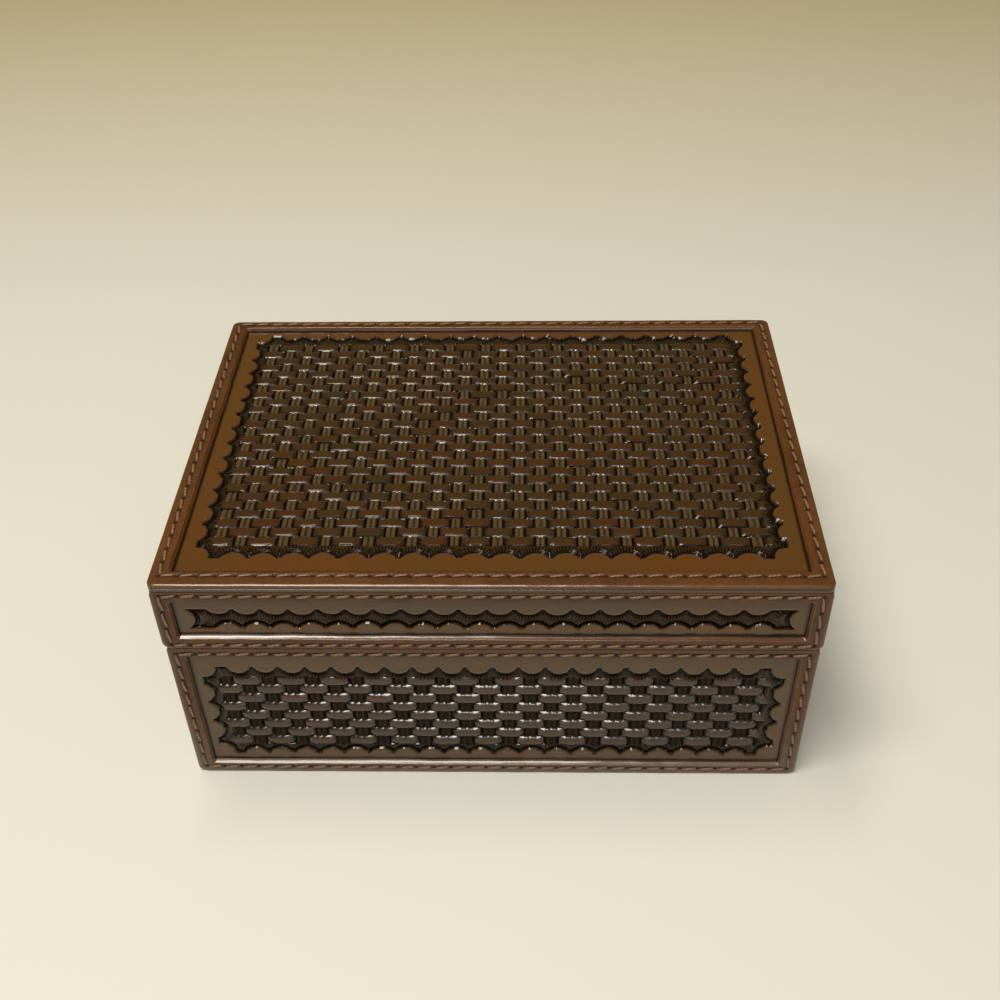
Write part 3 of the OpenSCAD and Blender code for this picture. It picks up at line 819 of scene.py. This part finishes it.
def weave_height(u, v, field, tooling, seed):
    """Height of the basketweave below the plain leather. Pads lie in rows, every other row
    shifted by half a pitch. A pad is crowned across its height, (1 - (y/b)^10)^0.5, where its
    lower edge b curves up towards its ends, and it bends down at its ends. Between the pads of
    a row a double strand passes, with a groove each side. On the box's sides the upper edge is
    bevelled instead, 1 - t^1.25 across the bevel, with two small peaks in its middle. Returns
    the height, the strand's share, the tone of the stain and the gloss at each point."""
    pitch, row = field.pad_pitch, tooling.row_pitch
    x, y = u - field.centre[0], v - field.centre[1]
    j = np.clip(np.round(y / row + (field.rows - 1) / 2), -1, field.rows).astype(int)
    y_in = y - (j - (field.rows - 1) / 2) * row
    shift = np.where(j % 2 == 0, 0.0, 0.5) * pitch + field.shift
    i = np.round((x - shift) / pitch).astype(int)
    x_in = x - shift - i * pitch
    rng = np.random.default_rng(seed)
    table = rng.normal(0, 1, (field.rows + 4, 64, 3))
    wild = table[np.clip(j + 2, 0, field.rows + 3), (i + 32) % 64]
    # Each pad is stamped a little off its place, along and up its row and in depth
    x_in = x_in - wild[..., 0] * 0.12 * MM
    y_pad = y_in - wild[..., 1] * 0.05 * MM
    off_depth = wild[..., 2] * 0.03 * MM
    half_l, half_h = tooling.pad_length / 2, tooling.pad_height / 2
    deep = tooling.depth
    side = np.clip(np.abs(x_in) / half_l, 0, 1)
    low_h = half_h * (1 - field.boat * side ** 3)
    across = np.where(y_pad > 0, y_pad / half_h, -y_pad / low_h) / 1.1
    crown = np.sqrt(np.clip(1 - across ** 10, 0, 1))
    if field.bevel:
        peaks = 0.14 * MM * np.exp(-((np.abs(x_in) - 0.9 * MM) / (0.4 * MM)) ** 2)
        fall = np.clip((y_in - peaks - BEVEL_START) / field.bevel, 0, 1) ** 1.25
        crown = np.where(y_pad > 0, 1 - fall, crown)
    end = smooth_step((half_l - np.abs(x_in)) / (1.8 * MM))
    tuck = smooth_step((half_l + 0.05 * MM - np.abs(x_in)) / (0.38 * MM))
    dome = 0.07 * MM * (y_pad / half_h) ** 2
    pad = -deep + (deep * 0.98 - dome + off_depth) * crown * (0.7 + 0.3 * end) * tuck
    x_gap = np.abs(x_in) - pitch / 2
    gap_half = (pitch - tooling.pad_length) / 2
    edge, low_strand = (0.2 * MM, 0.3) if field.bevel else (0.1 * MM, 0.34)
    strand_in = smooth_step((gap_half - edge - np.abs(x_gap)) / (0.3 * MM))
    ridges = 0.5 + 0.5 * np.cos(2 * math.pi * x_gap / (gap_half * 0.94) + math.pi)
    dive = (y_in / (row / 2)) ** 4
    strand = -deep + strand_in * deep * (low_strand + 0.34 * ridges - 0.14 * dive)
    is_pad = np.abs(x_in) < half_l
    h = np.where(is_pad, pad, strand)
    tone = np.where(is_pad, 0.5 + 0.08 * wild[..., 2], 0.4)
    flat = smooth_step((crown - 0.8) / 0.15)
    gloss = np.where(is_pad, tuck * (1 - flat * (0.15 if field.bevel else 0.6)),
                     strand_in * (0.08 if field.bevel else 0.75))
    return h, np.where(is_pad, 0.0, strand_in * (0.4 + 0.6 * ridges)), tone, gloss


def field_lines(low, high, inner_low, inner_high, step, pattern, pitch, phase):
    """Grid lines across a panel: evenly spaced at the rims, and in step with the pattern's own
    edges within the woven part."""
    lines = [np.linspace(low, inner_low, max(2, int(round((inner_low - low) / step))))]
    if pattern is not None:
        first = math.floor((inner_low - phase) / pitch) - 1
        last = math.ceil((inner_high - phase) / pitch) + 1
        marks = (phase + np.arange(first, last + 1)[:, None] * pitch + pattern[None, :]).ravel()
        marks = np.sort(marks[(marks > inner_low + 0.2 * MM) & (marks < inner_high - 0.2 * MM)])
        lines.append(marks)
    else:
        count = max(2, int(round((inner_high - inner_low) / step)))
        lines.append(np.linspace(inner_low, inner_high, count)[1:-1])
    lines.append(np.linspace(inner_high, high, max(2, int(round((high - inner_high) / step)))))
    return np.concatenate(lines)


def pad_lines(pitch, pad_length):
    """Where grid lines cross a pad and a strand: in step with both rows, whose pads lie half a
    pitch apart."""
    half, gap = pitch / 2, (pitch - pad_length) / 2
    marks = np.array([0, 0.5 * MM, 1.0 * MM, gap - 0.3 * MM, gap, gap + 0.35 * MM, half / 2])
    marks = np.concatenate([marks, half - marks[:-1]])
    return np.unique(np.round(np.concatenate([marks, pitch - marks[marks > 0]]), 7))


def panel_grid(window, field, tooling):
    """Grid of points over a panel's window, its lines in step with the weave if it has one."""
    wu0, wu1, wv0, wv1 = window
    if not field.woven:
        return np.meshgrid(np.linspace(wu0, wu1, int((wu1 - wu0) / (0.36 * MM))),
                           np.linspace(wv0, wv1, int((wv1 - wv0) / (0.3 * MM))))
    # Lines across a row of pads lie close where a pad's edge or bevel falls
    falls = [BEVEL_START / MM, 1.25, 1.45] if field.bevel else [1.4]
    row_marks = np.array([-1.6, -1.4, -0.7, 0, 0.7, *falls, 1.6, 1.87]) * MM
    centre_u, centre_v = field.centre
    us = field_lines(wu0, wu1, centre_u - field.room_u, centre_u + field.room_u, 0.45 * MM,
                     pad_lines(field.pad_pitch, tooling.pad_length), field.pad_pitch,
                     centre_u + field.shift)
    vs = field_lines(wv0, wv1, centre_v - field.half_weave, centre_v + field.half_weave,
                     0.42 * MM, row_marks, tooling.row_pitch,
                     centre_v - (field.rows - 1) / 2 * tooling.row_pitch)
    return np.meshgrid(us, vs)


def panel_rim(layer, window, corner, body, notches, u, v):
    """Rings of points that carry the edge of a panel's grid out to the outline, down and under,
    each at its inset and its share of the panel's thickness. Returns them along, up and out of
    the face, and the numbers of the grid points that they start from."""
    wu0, wu1, wv0, wv1 = window
    index = np.arange(u.size).reshape(u.shape)
    edge = np.concatenate([index[0, :-1], index[:-1, -1], index[-1, :0:-1], index[:0:-1, 0]])
    out_u = layer.u0 + (layer.u1 - layer.u0) * ((u.ravel()[edge] - wu0) / (wu1 - wu0))
    out_v = layer.v0 + (layer.v1 - layer.v0) * ((v.ravel()[edge] - wv0) / (wv1 - wv0))
    thick = layer.n1 - layer.n0
    rings = []
    for inset, share in ((0.25, 0.0), (0.05, -0.12), (0.0, -0.4), (0.0, -0.75), (0.2, -1)):
        ou, ov = round_corners(out_u, out_v, (layer.u0, layer.u1, layer.v0, layer.v1), corner,
                               inset * MM)
        for middle, half in notches:
            inside = np.abs(ou - middle) < half
            if body == "base":
                ov = np.where(inside & (ov > layer.v1 - 1 * MM), ov - NOTCH_DEPTH, ov)
            else:
                ov = np.where(inside & (ov < layer.v0 + 1 * MM), ov + NOTCH_DEPTH, ov)
        rings.append((ou, ov, np.full_like(ou, share * thick)))
    ring_u, ring_v, ring_n = (np.array(rows) for rows in zip(*rings))
    return ring_u, ring_v, ring_n, edge


def tooled_panel(name, face, node, corner, material, body, tooling, seed, notches=()):
    """A stamped panel: a height field over its window whose lobed edge the grid is drawn onto,
    with a plain rim under the frame, edges and a back. Beside a lobe the stamp is deepest:
    height = -depth * (a + (1 - a) * exp(-(d / w)^6)) at a distance d from it, where w shrinks
    towards the ends of the lobe. The weave takes over from there."""
    layer = Layer(node, face)
    strip_u, low, high = strips_of(body, face)
    window = (layer.u0 + strip_u - HIDDEN_RIM, layer.u1 - strip_u + HIDDEN_RIM,
              layer.v0 + low - HIDDEN_RIM, layer.v1 - high + HIDDEN_RIM)
    field = Field(layer, body, face, tooling, seed)
    centre_u, centre_v = field.centre
    u, v = panel_grid(window, field, tooling)
    # Points close to the lobed edge are drawn onto it
    d, gu, gv, arc, facing = field.measure(u, v)
    close = 0.22 * MM
    pull = np.where(np.abs(d) < close, d, 0)
    u, v = u - gu * pull, v - gv * pull
    d, gu, gv, arc, facing = field.measure(u, v)
    stamped = d > 0.03 * MM
    # Beside a lobe the stamp is deepest, and it rises to this share of its depth
    floor = 0.26 if field.woven else 0.1
    spread = (1.45 if field.woven else 1.35) * MM * (0.35 + 0.65 * facing)
    border = -tooling.depth * (floor + (1 - floor) * np.exp(-(np.clip(d, 0, None) / spread) ** 6))
    # The plain leather dips at the stamped edge and swells just behind it
    dip = 0.1 * MM * np.exp(-np.abs(d) / (0.22 * MM))
    lobe = 0.07 * MM * np.exp(-((np.abs(d) - 0.7 * MM) / (0.5 * MM)) ** 2) - dip
    strand = np.zeros_like(u)
    tone = np.full_like(u, 0.6)
    gloss = 0.06 + 0.5 * np.abs(gu) * smooth_step(d / (1.2 * MM))
    height = border
    ray_share = smooth_step((d - 0.45 * spread) / (0.4 * MM)) * smooth_step(
        (3.3 * MM - d) / (0.9 * MM))
    if field.woven:
        weave, strand, tone, shine = weave_height(u, v, field, tooling, seed + 1)
        inside = smooth_step((field.room_u + 1.2 * MM - np.abs(u - centre_u)) / (0.8 * MM))
        inside = inside * smooth_step(
            (field.half_weave + 0.1 * MM - np.abs(v - centre_v)) / (0.3 * MM))
        inside = inside * smooth_step((d - 2.0 * MM) / (0.8 * MM))
        height = border * (1 - inside) + weave * inside
        strand = strand * inside
        tone = tone * inside + 0.45 * (1 - inside)
        gloss = gloss * (1 - inside) + shine * inside
        ray_share = ray_share * (1 - strand)
    h = np.where(stamped, height, lobe)
    tone = np.where(stamped, tone, 0.62 if face == "top" else 0.42)
    gloss = np.where(stamped, gloss, 0.9)
    relief = np.clip(1 + h / tooling.depth, 0, 1)
    # Painted shade along the window's edge, where the frame stands over the panel
    in_window = np.minimum(
        np.minimum(u - layer.u0 - strip_u, layer.u1 - strip_u - u),
        np.minimum(v - layer.v0 - low, layer.v1 - high - v))
    relief = relief * (1 - 0.8 * np.exp(-(np.clip(in_window, 0, None) / (0.45 * MM)) ** 2))
    ray_share = np.where(stamped, ray_share, 0)
    h = h + 0.03 * MM * waver(u * 1.3 + v, seed + 5, 14 * MM)
    ru, rv, rn, edge = panel_rim(layer, window, corner, body, notches, u, v)
    points = [layer.points(u, v, layer.n1 + h), layer.points(ru, rv, layer.n1 + rn)]
    loops = np.concatenate([edge[None], u.size + np.arange(ru.size).reshape(ru.shape)])
    a, b = loops[:-1], loops[1:]
    rim = np.stack([b, np.roll(b, -1, 1), np.roll(a, -1, 1), a], -1).reshape(-1, 4)
    back = loops[-1][::-1][None]
    faces = [strip_quads(*u.shape), rim[:, ::-1], back]
    uv = np.concatenate([np.stack([u.ravel(), v.ravel()], 1),
                         np.stack([ru.ravel(), rv.ravel()], 1)]) / MM * UV_SCALE
    # What the material reads: values on the surface, and one value for the whole rim
    # Painted highlight on the strands: full on the top, a fifth of it on the sides
    strand_highlight_share = 1.0 if face == "top" else 0.2
    fields = {key: np.concatenate([surface.ravel().astype(float), np.full(ru.size, on_rim)])
              for key, surface, on_rim in (
                  ("relief", relief, 0.85), ("tone", tone, 0.6), ("strand", strand, 0.0),
                  ("plain", ~stamped, 1.0), ("gloss", gloss, 1.0),
                  ("rub", strand * strand_highlight_share, 0.0), ("ray", arc / MM, 0.0),
                  ("ray_share", ray_share, 0.0))}
    return new_piece(name, np.concatenate(points), faces, material, body, node,
                     uv, fields, sharp=38)


def round_corners(u, v, outline, radius, inset):
    """Points on a rectangle's edge, drawn in by inset and onto its round corners."""
    u0, u1, v0, v1 = outline
    u = np.clip(u, u0 + inset, u1 - inset)
    v = np.clip(v, v0 + inset, v1 - inset)
    r = max(radius, inset + 0.05 * MM)
    cu = np.clip(u, u0 + r, u1 - r)
    cv = np.clip(v, v0 + r, v1 - r)
    du, dv = u - cu, v - cv
    in_corner = (np.abs(du) > 0) & (np.abs(dv) > 0)
    far = np.maximum(np.hypot(du, dv), 1e-9)
    return (np.where(in_corner, cu + du / far * (r - inset), u),
            np.where(in_corner, cv + dv / far * (r - inset), v))


# Boards, linings, covers and hinges

def softened(name, node, width, segments, material, body):
    """A copy of a CAD node with its loose triangles merged and its edges bevelled."""
    sharp = math.radians(35)
    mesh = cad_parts[node].data.copy()
    mesh.materials.clear()
    work = bmesh.new()
    work.from_mesh(mesh)
    bmesh.ops.remove_doubles(work, verts=work.verts, dist=0.002 * MM)
    bmesh.ops.dissolve_limit(work, angle_limit=math.radians(1), verts=work.verts,
                             edges=work.edges)
    work.to_mesh(mesh)
    work.free()
    piece = finish_piece(name, mesh, material, body, node)
    bevel = piece.modifiers.new("soft edges", "BEVEL")
    bevel.width = width
    bevel.segments = segments
    bevel.limit_method = "ANGLE"
    bevel.angle_limit = sharp
    mesh.shade_smooth()
    mesh.set_sharp_from_angle(angle=sharp)
    return piece


def padded_sheet(name, node, face, crown, edge, material, body, seed):
    """A thin lining or cover: its outer side is crowned by crown * (1 - x^4) * (1 - y^4) with a
    faint ripple, and its edges are rounded over."""
    layer = Layer(node, face)
    wide, tall, thick = layer.u1 - layer.u0, layer.v1 - layer.v0, layer.n1 - layer.n0
    step = 2.2 * MM
    along = np.linspace(0, 1, max(6, int(wide / step)))
    up = np.linspace(0, 1, max(6, int(tall / step)))
    insets, heights = [0.0, 0.0], [0.0, thick - edge]
    for turn in np.linspace(0, math.pi / 2, 4)[1:]:
        insets.append(edge * (1 - math.cos(turn)))
        heights.append(thick - edge * (1 - math.sin(turn)))
    us, vs, ns = [], [], []
    for inset, height in zip(insets, heights):
        loop_u, loop_v = rounded_loop(layer.u0 + inset, layer.u1 - inset, layer.v0 + inset,
                                      layer.v1 - inset, edge * 1.1 + 0.1 * MM, along, up, 3)
        us.append(loop_u)
        vs.append(loop_v)
        ns.append(np.full_like(loop_u, height))
    u, v, n = np.array(us), np.array(vs), np.array(ns)
    count = u.shape[1]
    rim_points = layer.points(u, v, layer.n0 + n)
    # The crowned middle: the rim's own loop, smaller and smaller, down to a point
    shares = np.linspace(0, 1, 14)[1:]
    mid_u, mid_v = (layer.u0 + layer.u1) / 2, (layer.v0 + layer.v1) / 2
    cu = mid_u + (u[-1] - mid_u)[None, :] * (1 - shares)[:, None]
    cv = mid_v + (v[-1] - mid_v)[None, :] * (1 - shares)[:, None]
    x, y = (cu - mid_u) / (wide / 2), (cv - mid_v) / (tall / 2)
    ripple = 0.04 * MM * waver(cu + 0.6 * cv, seed, 30 * MM)
    rise = crown * (1 - x ** 4) * (1 - y ** 4) + ripple * (1 - np.abs(x) ** 6) * (1 - y ** 6)
    mid_points = layer.points(cu, cv, layer.n1 + np.minimum(rise, crown))
    points = np.concatenate([rim_points, mid_points])
    total = u.shape[0] + len(shares)
    quads = strip_quads(total, count, round_columns=True)
    back = np.arange(count)[::-1][None]
    front = ((total - 1) * count + np.arange(count))[None]
    uv = np.concatenate([np.stack([u.ravel(), v.ravel()], 1),
                         np.stack([cu.ravel(), cv.ravel()], 1)]) / MM * UV_SCALE
    burnish = np.concatenate([np.full(u.size, 0.45), np.zeros(cu.size)])
    return new_piece(name, points, [quads, back, front], material, body, node, uv,
                     {"burnish": burnish})


# Operators

def settings():
    """The user's sizes and colours."""
    return bpy.context.scene.stationery_box


def shared_material(name, make, *args):
    """The material of that name, made when it is first asked for."""
    return bpy.data.materials.get(name) or make(settings().colours, *args)


def strips_of(part, face):
    """Widths of a frame's upright, lower and upper strips; on the top, side, front and back."""
    sizes = settings().frames
    if face == "top":
        return sizes.top_side, sizes.top_front, sizes.top_back
    if part == "lid":
        return sizes.side_strip, sizes.lid_lower, sizes.lid_upper
    return sizes.side_strip, sizes.base_lower, sizes.base_upper


def margins_of(part, face):
    """Plain leather between a window and the stamps: at the ends, below and above them."""
    sizes = settings().tooling
    if face == "top":
        return sizes.top_side, sizes.top_front, sizes.top_back
    if part == "lid":
        return sizes.lid_end, sizes.lid_low, sizes.lid_high
    return sizes.base_end, sizes.base_low, sizes.base_high


def seam_of(part, face):
    """The seam of one frame, laid out from its panel's outline."""
    stitches = settings().stitches
    outer = Layer(f"{part}_{face}_panel", face)
    if face == "top":
        below, above = stitches.top_front, stitches.top_back
    else:
        below = above = stitches.lid_inset if part == "lid" else stitches.base_inset
    return Seam((outer.u0, outer.u1, outer.v0, outer.v1), (stitches.inset, below, above),
                stitches.pitch, stitches.groove)


def faces_of_box():
    """Part and face of each panel, frame and seam, with a number to seed its irregularities."""
    faces = [("lid", "top")] + [("lid", side) for side in SIDES]
    faces += [("base", side) for side in SIDES]
    return [(part, face, 11 + 10 * i) for i, (part, face) in enumerate(faces)]


def hinge_notches(part, face):
    """Middle and half length of each hinge along the back face, where the leather is cut."""
    if face != "back":
        return ()
    leaf_end = float(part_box(f"{part}_hinge_leaves")[1].x)
    half = LEAF_HALF_LENGTH + NOTCH_PLAY
    return ((leaf_end - LEAF_HALF_LENGTH, half), (LEAF_HALF_LENGTH - leaf_end, half))


class BOX_OT_tooled_panels(bpy.types.Operator):
    """Builds the nine stamped leather panels"""
    bl_idname = "stationery_box.tooled_panels"
    bl_label = "Tooled Panels"

    def execute(self, context):
        box = settings()
        leather = shared_material("tooling_finish", tooled_leather_material)
        for part, face, seed in faces_of_box():
            corner = box.frames.corner if face == "top" else 0.2 * MM
            tooled_panel(f"{part}_{face}_tooling", face, f"{part}_{face}_panel", corner, leather,
                         part, box.tooling, seed, hinge_notches(part, face))
        return {"FINISHED"}


class BOX_OT_leather_frames(bpy.types.Operator):
    """Builds the nine window-cut leather frames"""
    bl_idname = "stationery_box.leather_frames"
    bl_label = "Leather Frames"

    def execute(self, context):
        box = settings()
        leather = shared_material("strap_finish", frame_leather_material)
        for part, face, seed in faces_of_box():
            corner = 0.4 * MM if face in ("left", "right") else box.frames.corner
            leather_frame(f"{part}_{face}_strap", face, f"{part}_{face}_frame",
                          f"{part}_{face}_panel", strips_of(part, face), seam_of(part, face),
                          corner, leather, part, box.frames, seed, hinge_notches(part, face))
        return {"FINISHED"}


class BOX_OT_seams(bpy.types.Operator):
    """Sews the nine seams"""
    bl_idname = "stationery_box.seams"
    bl_label = "Seams"

    def execute(self, context):
        box = settings()
        thread = shared_material("waxed_thread", thread_material)
        for part, face, seed in faces_of_box():
            surface = Layer(f"{part}_{face}_frame", face).n1
            thread_seam(f"{part}_{face}_stitches", face, f"{part}_{face}_thread",
                        seam_of(part, face), surface, thread, part, box.stitches, seed + 4)
        return {"FINISHED"}


class BOX_OT_carcass(bpy.types.Operator):
    """Builds the wooden boards of the base and the lid"""
    bl_idname = "stationery_box.carcass"
    bl_label = "Wooden Carcass"

    def execute(self, context):
        # The grain runs along each board, so it is stretched twenty times that way
        wide, deep = (shared_material(name, wood_material, name, stretch) for name, stretch in (
            ("board_wood_wide", (0.05, 1, 1)), ("board_wood_deep", (1, 0.05, 1))))
        for part, flat in (("base", "floor"), ("lid", "top")):
            for board in (flat, *SIDES):
                grain = deep if board in ("left", "right") else wide
                softened(f"{part}_{board}_wood", f"{part}_{board}_board", 0.3 * MM, 3, grain,
                         part)
        return {"FINISHED"}


class BOX_OT_linings(bpy.types.Operator):
    """Builds the suede linings"""
    bl_idname = "stationery_box.linings"
    bl_label = "Suede Linings"

    def execute(self, context):
        suede = shared_material("suede_nap", suede_material)
        inward = {"front": "back", "back": "front", "left": "right", "right": "left",
                  "floor": "top", "top": "bottom"}
        for part, flat in (("base", "floor"), ("lid", "top")):
            for i, wall in enumerate((flat, *SIDES)):
                padded_sheet(f"{part}_{wall}_suede", f"{part}_{wall}_lining", inward[wall],
                             0.12 * MM, 0.35 * MM, suede, part, 90 + i)
        return {"FINISHED"}


class BOX_OT_underside(bpy.types.Operator):
    """Builds the leather cover under the base"""
    bl_idname = "stationery_box.underside"
    bl_label = "Underside"

    def execute(self, context):
        leather = shared_material("strap_finish", frame_leather_material)
        padded_sheet("base_underside", "base_bottom_cover", "bottom", 0.0, 0.3 * MM, leather,
                     "base", 81)
        return {"FINISHED"}


class BOX_OT_hinges(bpy.types.Operator):
    """Builds the brass hinges, their pins and screws"""
    bl_idname = "stationery_box.hinges"
    bl_label = "Hinges"

    def execute(self, context):
        brass = shared_material("hinge_brass", brass_material)
        for name, node, body, width in (
                ("base_leaves", "base_hinge_leaves", "base", 0.12 * MM),
                ("lid_leaves", "lid_hinge_leaves", "lid", 0.12 * MM),
                ("hinge_pin_pair", "hinge_pins", "base", 0.15 * MM),
                ("base_screw_set", "base_hinge_screws", "base", 0.05 * MM),
                ("lid_screw_set", "lid_hinge_screws", "lid", 0.05 * MM)):
            softened(name, node, width, 2, brass, body)
        return {"FINISHED"}


class BOX_OT_stage(bpy.types.Operator):
    """Makes the floor, the backdrop, the lamps and the camera"""
    bl_idname = "stationery_box.stage"
    bl_label = "Stage"

    def execute(self, context):
        self.floor()
        self.lamps(context)
        self.camera(context)
        context.scene.view_settings.view_transform = "Standard"
        return {"FINISHED"}

    def floor(self):
        """A floor that curves up into a backdrop: a profile of a flat run, a quarter circle and
        an upright, carried along x."""
        half_width, front, back, bend, rise = 3.0, -3.0, 1.2, 0.5, 2.6
        turn = np.linspace(0, math.pi / 2, 17)
        y = np.concatenate([[front], back + bend * np.sin(turn), [back + bend]])
        z = np.concatenate([[0], bend * (1 - np.cos(turn)), [rise]])
        x = np.linspace(-half_width, half_width, 5)
        grid = np.stack(np.broadcast_arrays(x[None, :], y[:, None], z[:, None]), -1)
        mesh = bpy.data.meshes.new("floor")
        mesh.from_pydata(grid.reshape(-1, 3).tolist(), [],
                         strip_quads(len(y), len(x)).tolist())
        mesh.shade_smooth()
        shader = Shader("floor_pale", {"Roughness": 0.6})
        near, far = (0.71, 0.715, 0.67), (0.6, 0.49, 0.24)
        shader.feed(shader.surface.inputs["Base Color"],
                    shader.ramp(shader.coordinates("Object")[1], [(0.2, near), (0.8, far)]))
        mesh.materials.append(shader.material)
        floor = bpy.data.objects.new("floor", mesh)
        bpy.context.scene.collection.objects.link(floor)

    def lamps(self, context):
        """Two narrow lamps overhead, a large one in front and a dim world."""
        aim = Vector((0, 0, 0.04))
        for name, at, size, watts, tint in (
                ("ceiling_front", (-0.25, -0.42, 1.2), (0.8, 0.24), 12.5, (1, 0.94, 0.82)),
                ("ceiling_back", (-0.25, 0.15, 1.2), (0.5, 0.1), 3.2, (1, 0.92, 0.76)),
                ("front_fill", (0.15, -1.2, 1.15), (1.0, 1.0), 4.0, (0.97, 0.98, 1))):
            lamp = bpy.data.lights.new(name, "AREA")
            lamp.shape = "RECTANGLE"
            lamp.size, lamp.size_y = size
            lamp.energy = watts
            lamp.color = tint
            holder = bpy.data.objects.new(name, lamp)
            holder.location = at
            holder.rotation_euler = (aim - Vector(at)).to_track_quat("-Z", "Y").to_euler()
            context.scene.collection.objects.link(holder)
        world = bpy.data.worlds.new("room")
        world.use_nodes = True
        background = world.node_tree.nodes["Background"]
        background.inputs["Color"].default_value = (1, 0.9, 0.7, 1)
        background.inputs["Strength"].default_value = 0.2
        context.scene.world = world

    def camera(self, context):
        """The photograph's camera: found by fitting the box's corners in it."""
        data = bpy.data.cameras.new("camera")
        data.sensor_width = 36
        data.lens = 44.71
        holder = bpy.data.objects.new("camera", data)
        holder.location = (0.011874, -0.290329, 0.30243)
        up = Vector((0.00044, 0.651068, 0.759019))
        away = Vector((-0.027958, 0.75873, -0.650805))
        holder.rotation_euler = Matrix((away.cross(up), up, -away)).transposed().to_euler()
        context.scene.collection.objects.link(holder)
        context.scene.camera = holder


OPERATORS = (BOX_OT_stage, BOX_OT_tooled_panels, BOX_OT_leather_frames, BOX_OT_seams,
             BOX_OT_carcass, BOX_OT_linings, BOX_OT_underside, BOX_OT_hinges)


class StationeryBox(bpy.types.PropertyGroup):
    """All the sizes and colours of the box."""
    frames: bpy.props.PointerProperty(type=BoxFrameSizes)
    stitches: bpy.props.PointerProperty(type=BoxStitchSizes)
    tooling: bpy.props.PointerProperty(type=BoxToolingSizes)
    colours: bpy.props.PointerProperty(type=BoxColours)


class BOX_PT_maker(bpy.types.Panel):
    """Lists the steps that build the box and its colours"""
    bl_idname = "BOX_PT_maker"
    bl_label = "Stationery Box"
    bl_space_type = "VIEW_3D"
    bl_region_type = "UI"
    bl_category = "Stationery Box"

    def draw(self, context):
        column = self.layout.column()
        for operator in OPERATORS:
            column.operator(operator.bl_idname)
        for group in ("frames", "stitches", "tooling", "colours"):
            values = getattr(context.scene.stationery_box, group)
            for key in values.__annotations__:
                column.prop(values, key)


CLASSES = (BoxFrameSizes, BoxStitchSizes, BoxToolingSizes, BoxColours, StationeryBox,
           *OPERATORS, BOX_PT_maker)


def register():
    """Adds the classes and the box's settings."""
    for cls in CLASSES:
        bpy.utils.register_class(cls)
    bpy.types.Scene.stationery_box = bpy.props.PointerProperty(type=StationeryBox)


def unregister():
    """Takes them away again."""
    del bpy.types.Scene.stationery_box
    for cls in reversed(CLASSES):
        bpy.utils.unregister_class(cls)


def main():
    """Builds the whole box."""
    register()
    bpy.ops.stationery_box.stage()
    bpy.ops.stationery_box.tooled_panels()
    bpy.ops.stationery_box.leather_frames()
    bpy.ops.stationery_box.seams()
    bpy.ops.stationery_box.carcass()
    bpy.ops.stationery_box.linings()
    bpy.ops.stationery_box.underside()
    bpy.ops.stationery_box.hinges()


if __name__ == "__main__":
    main()
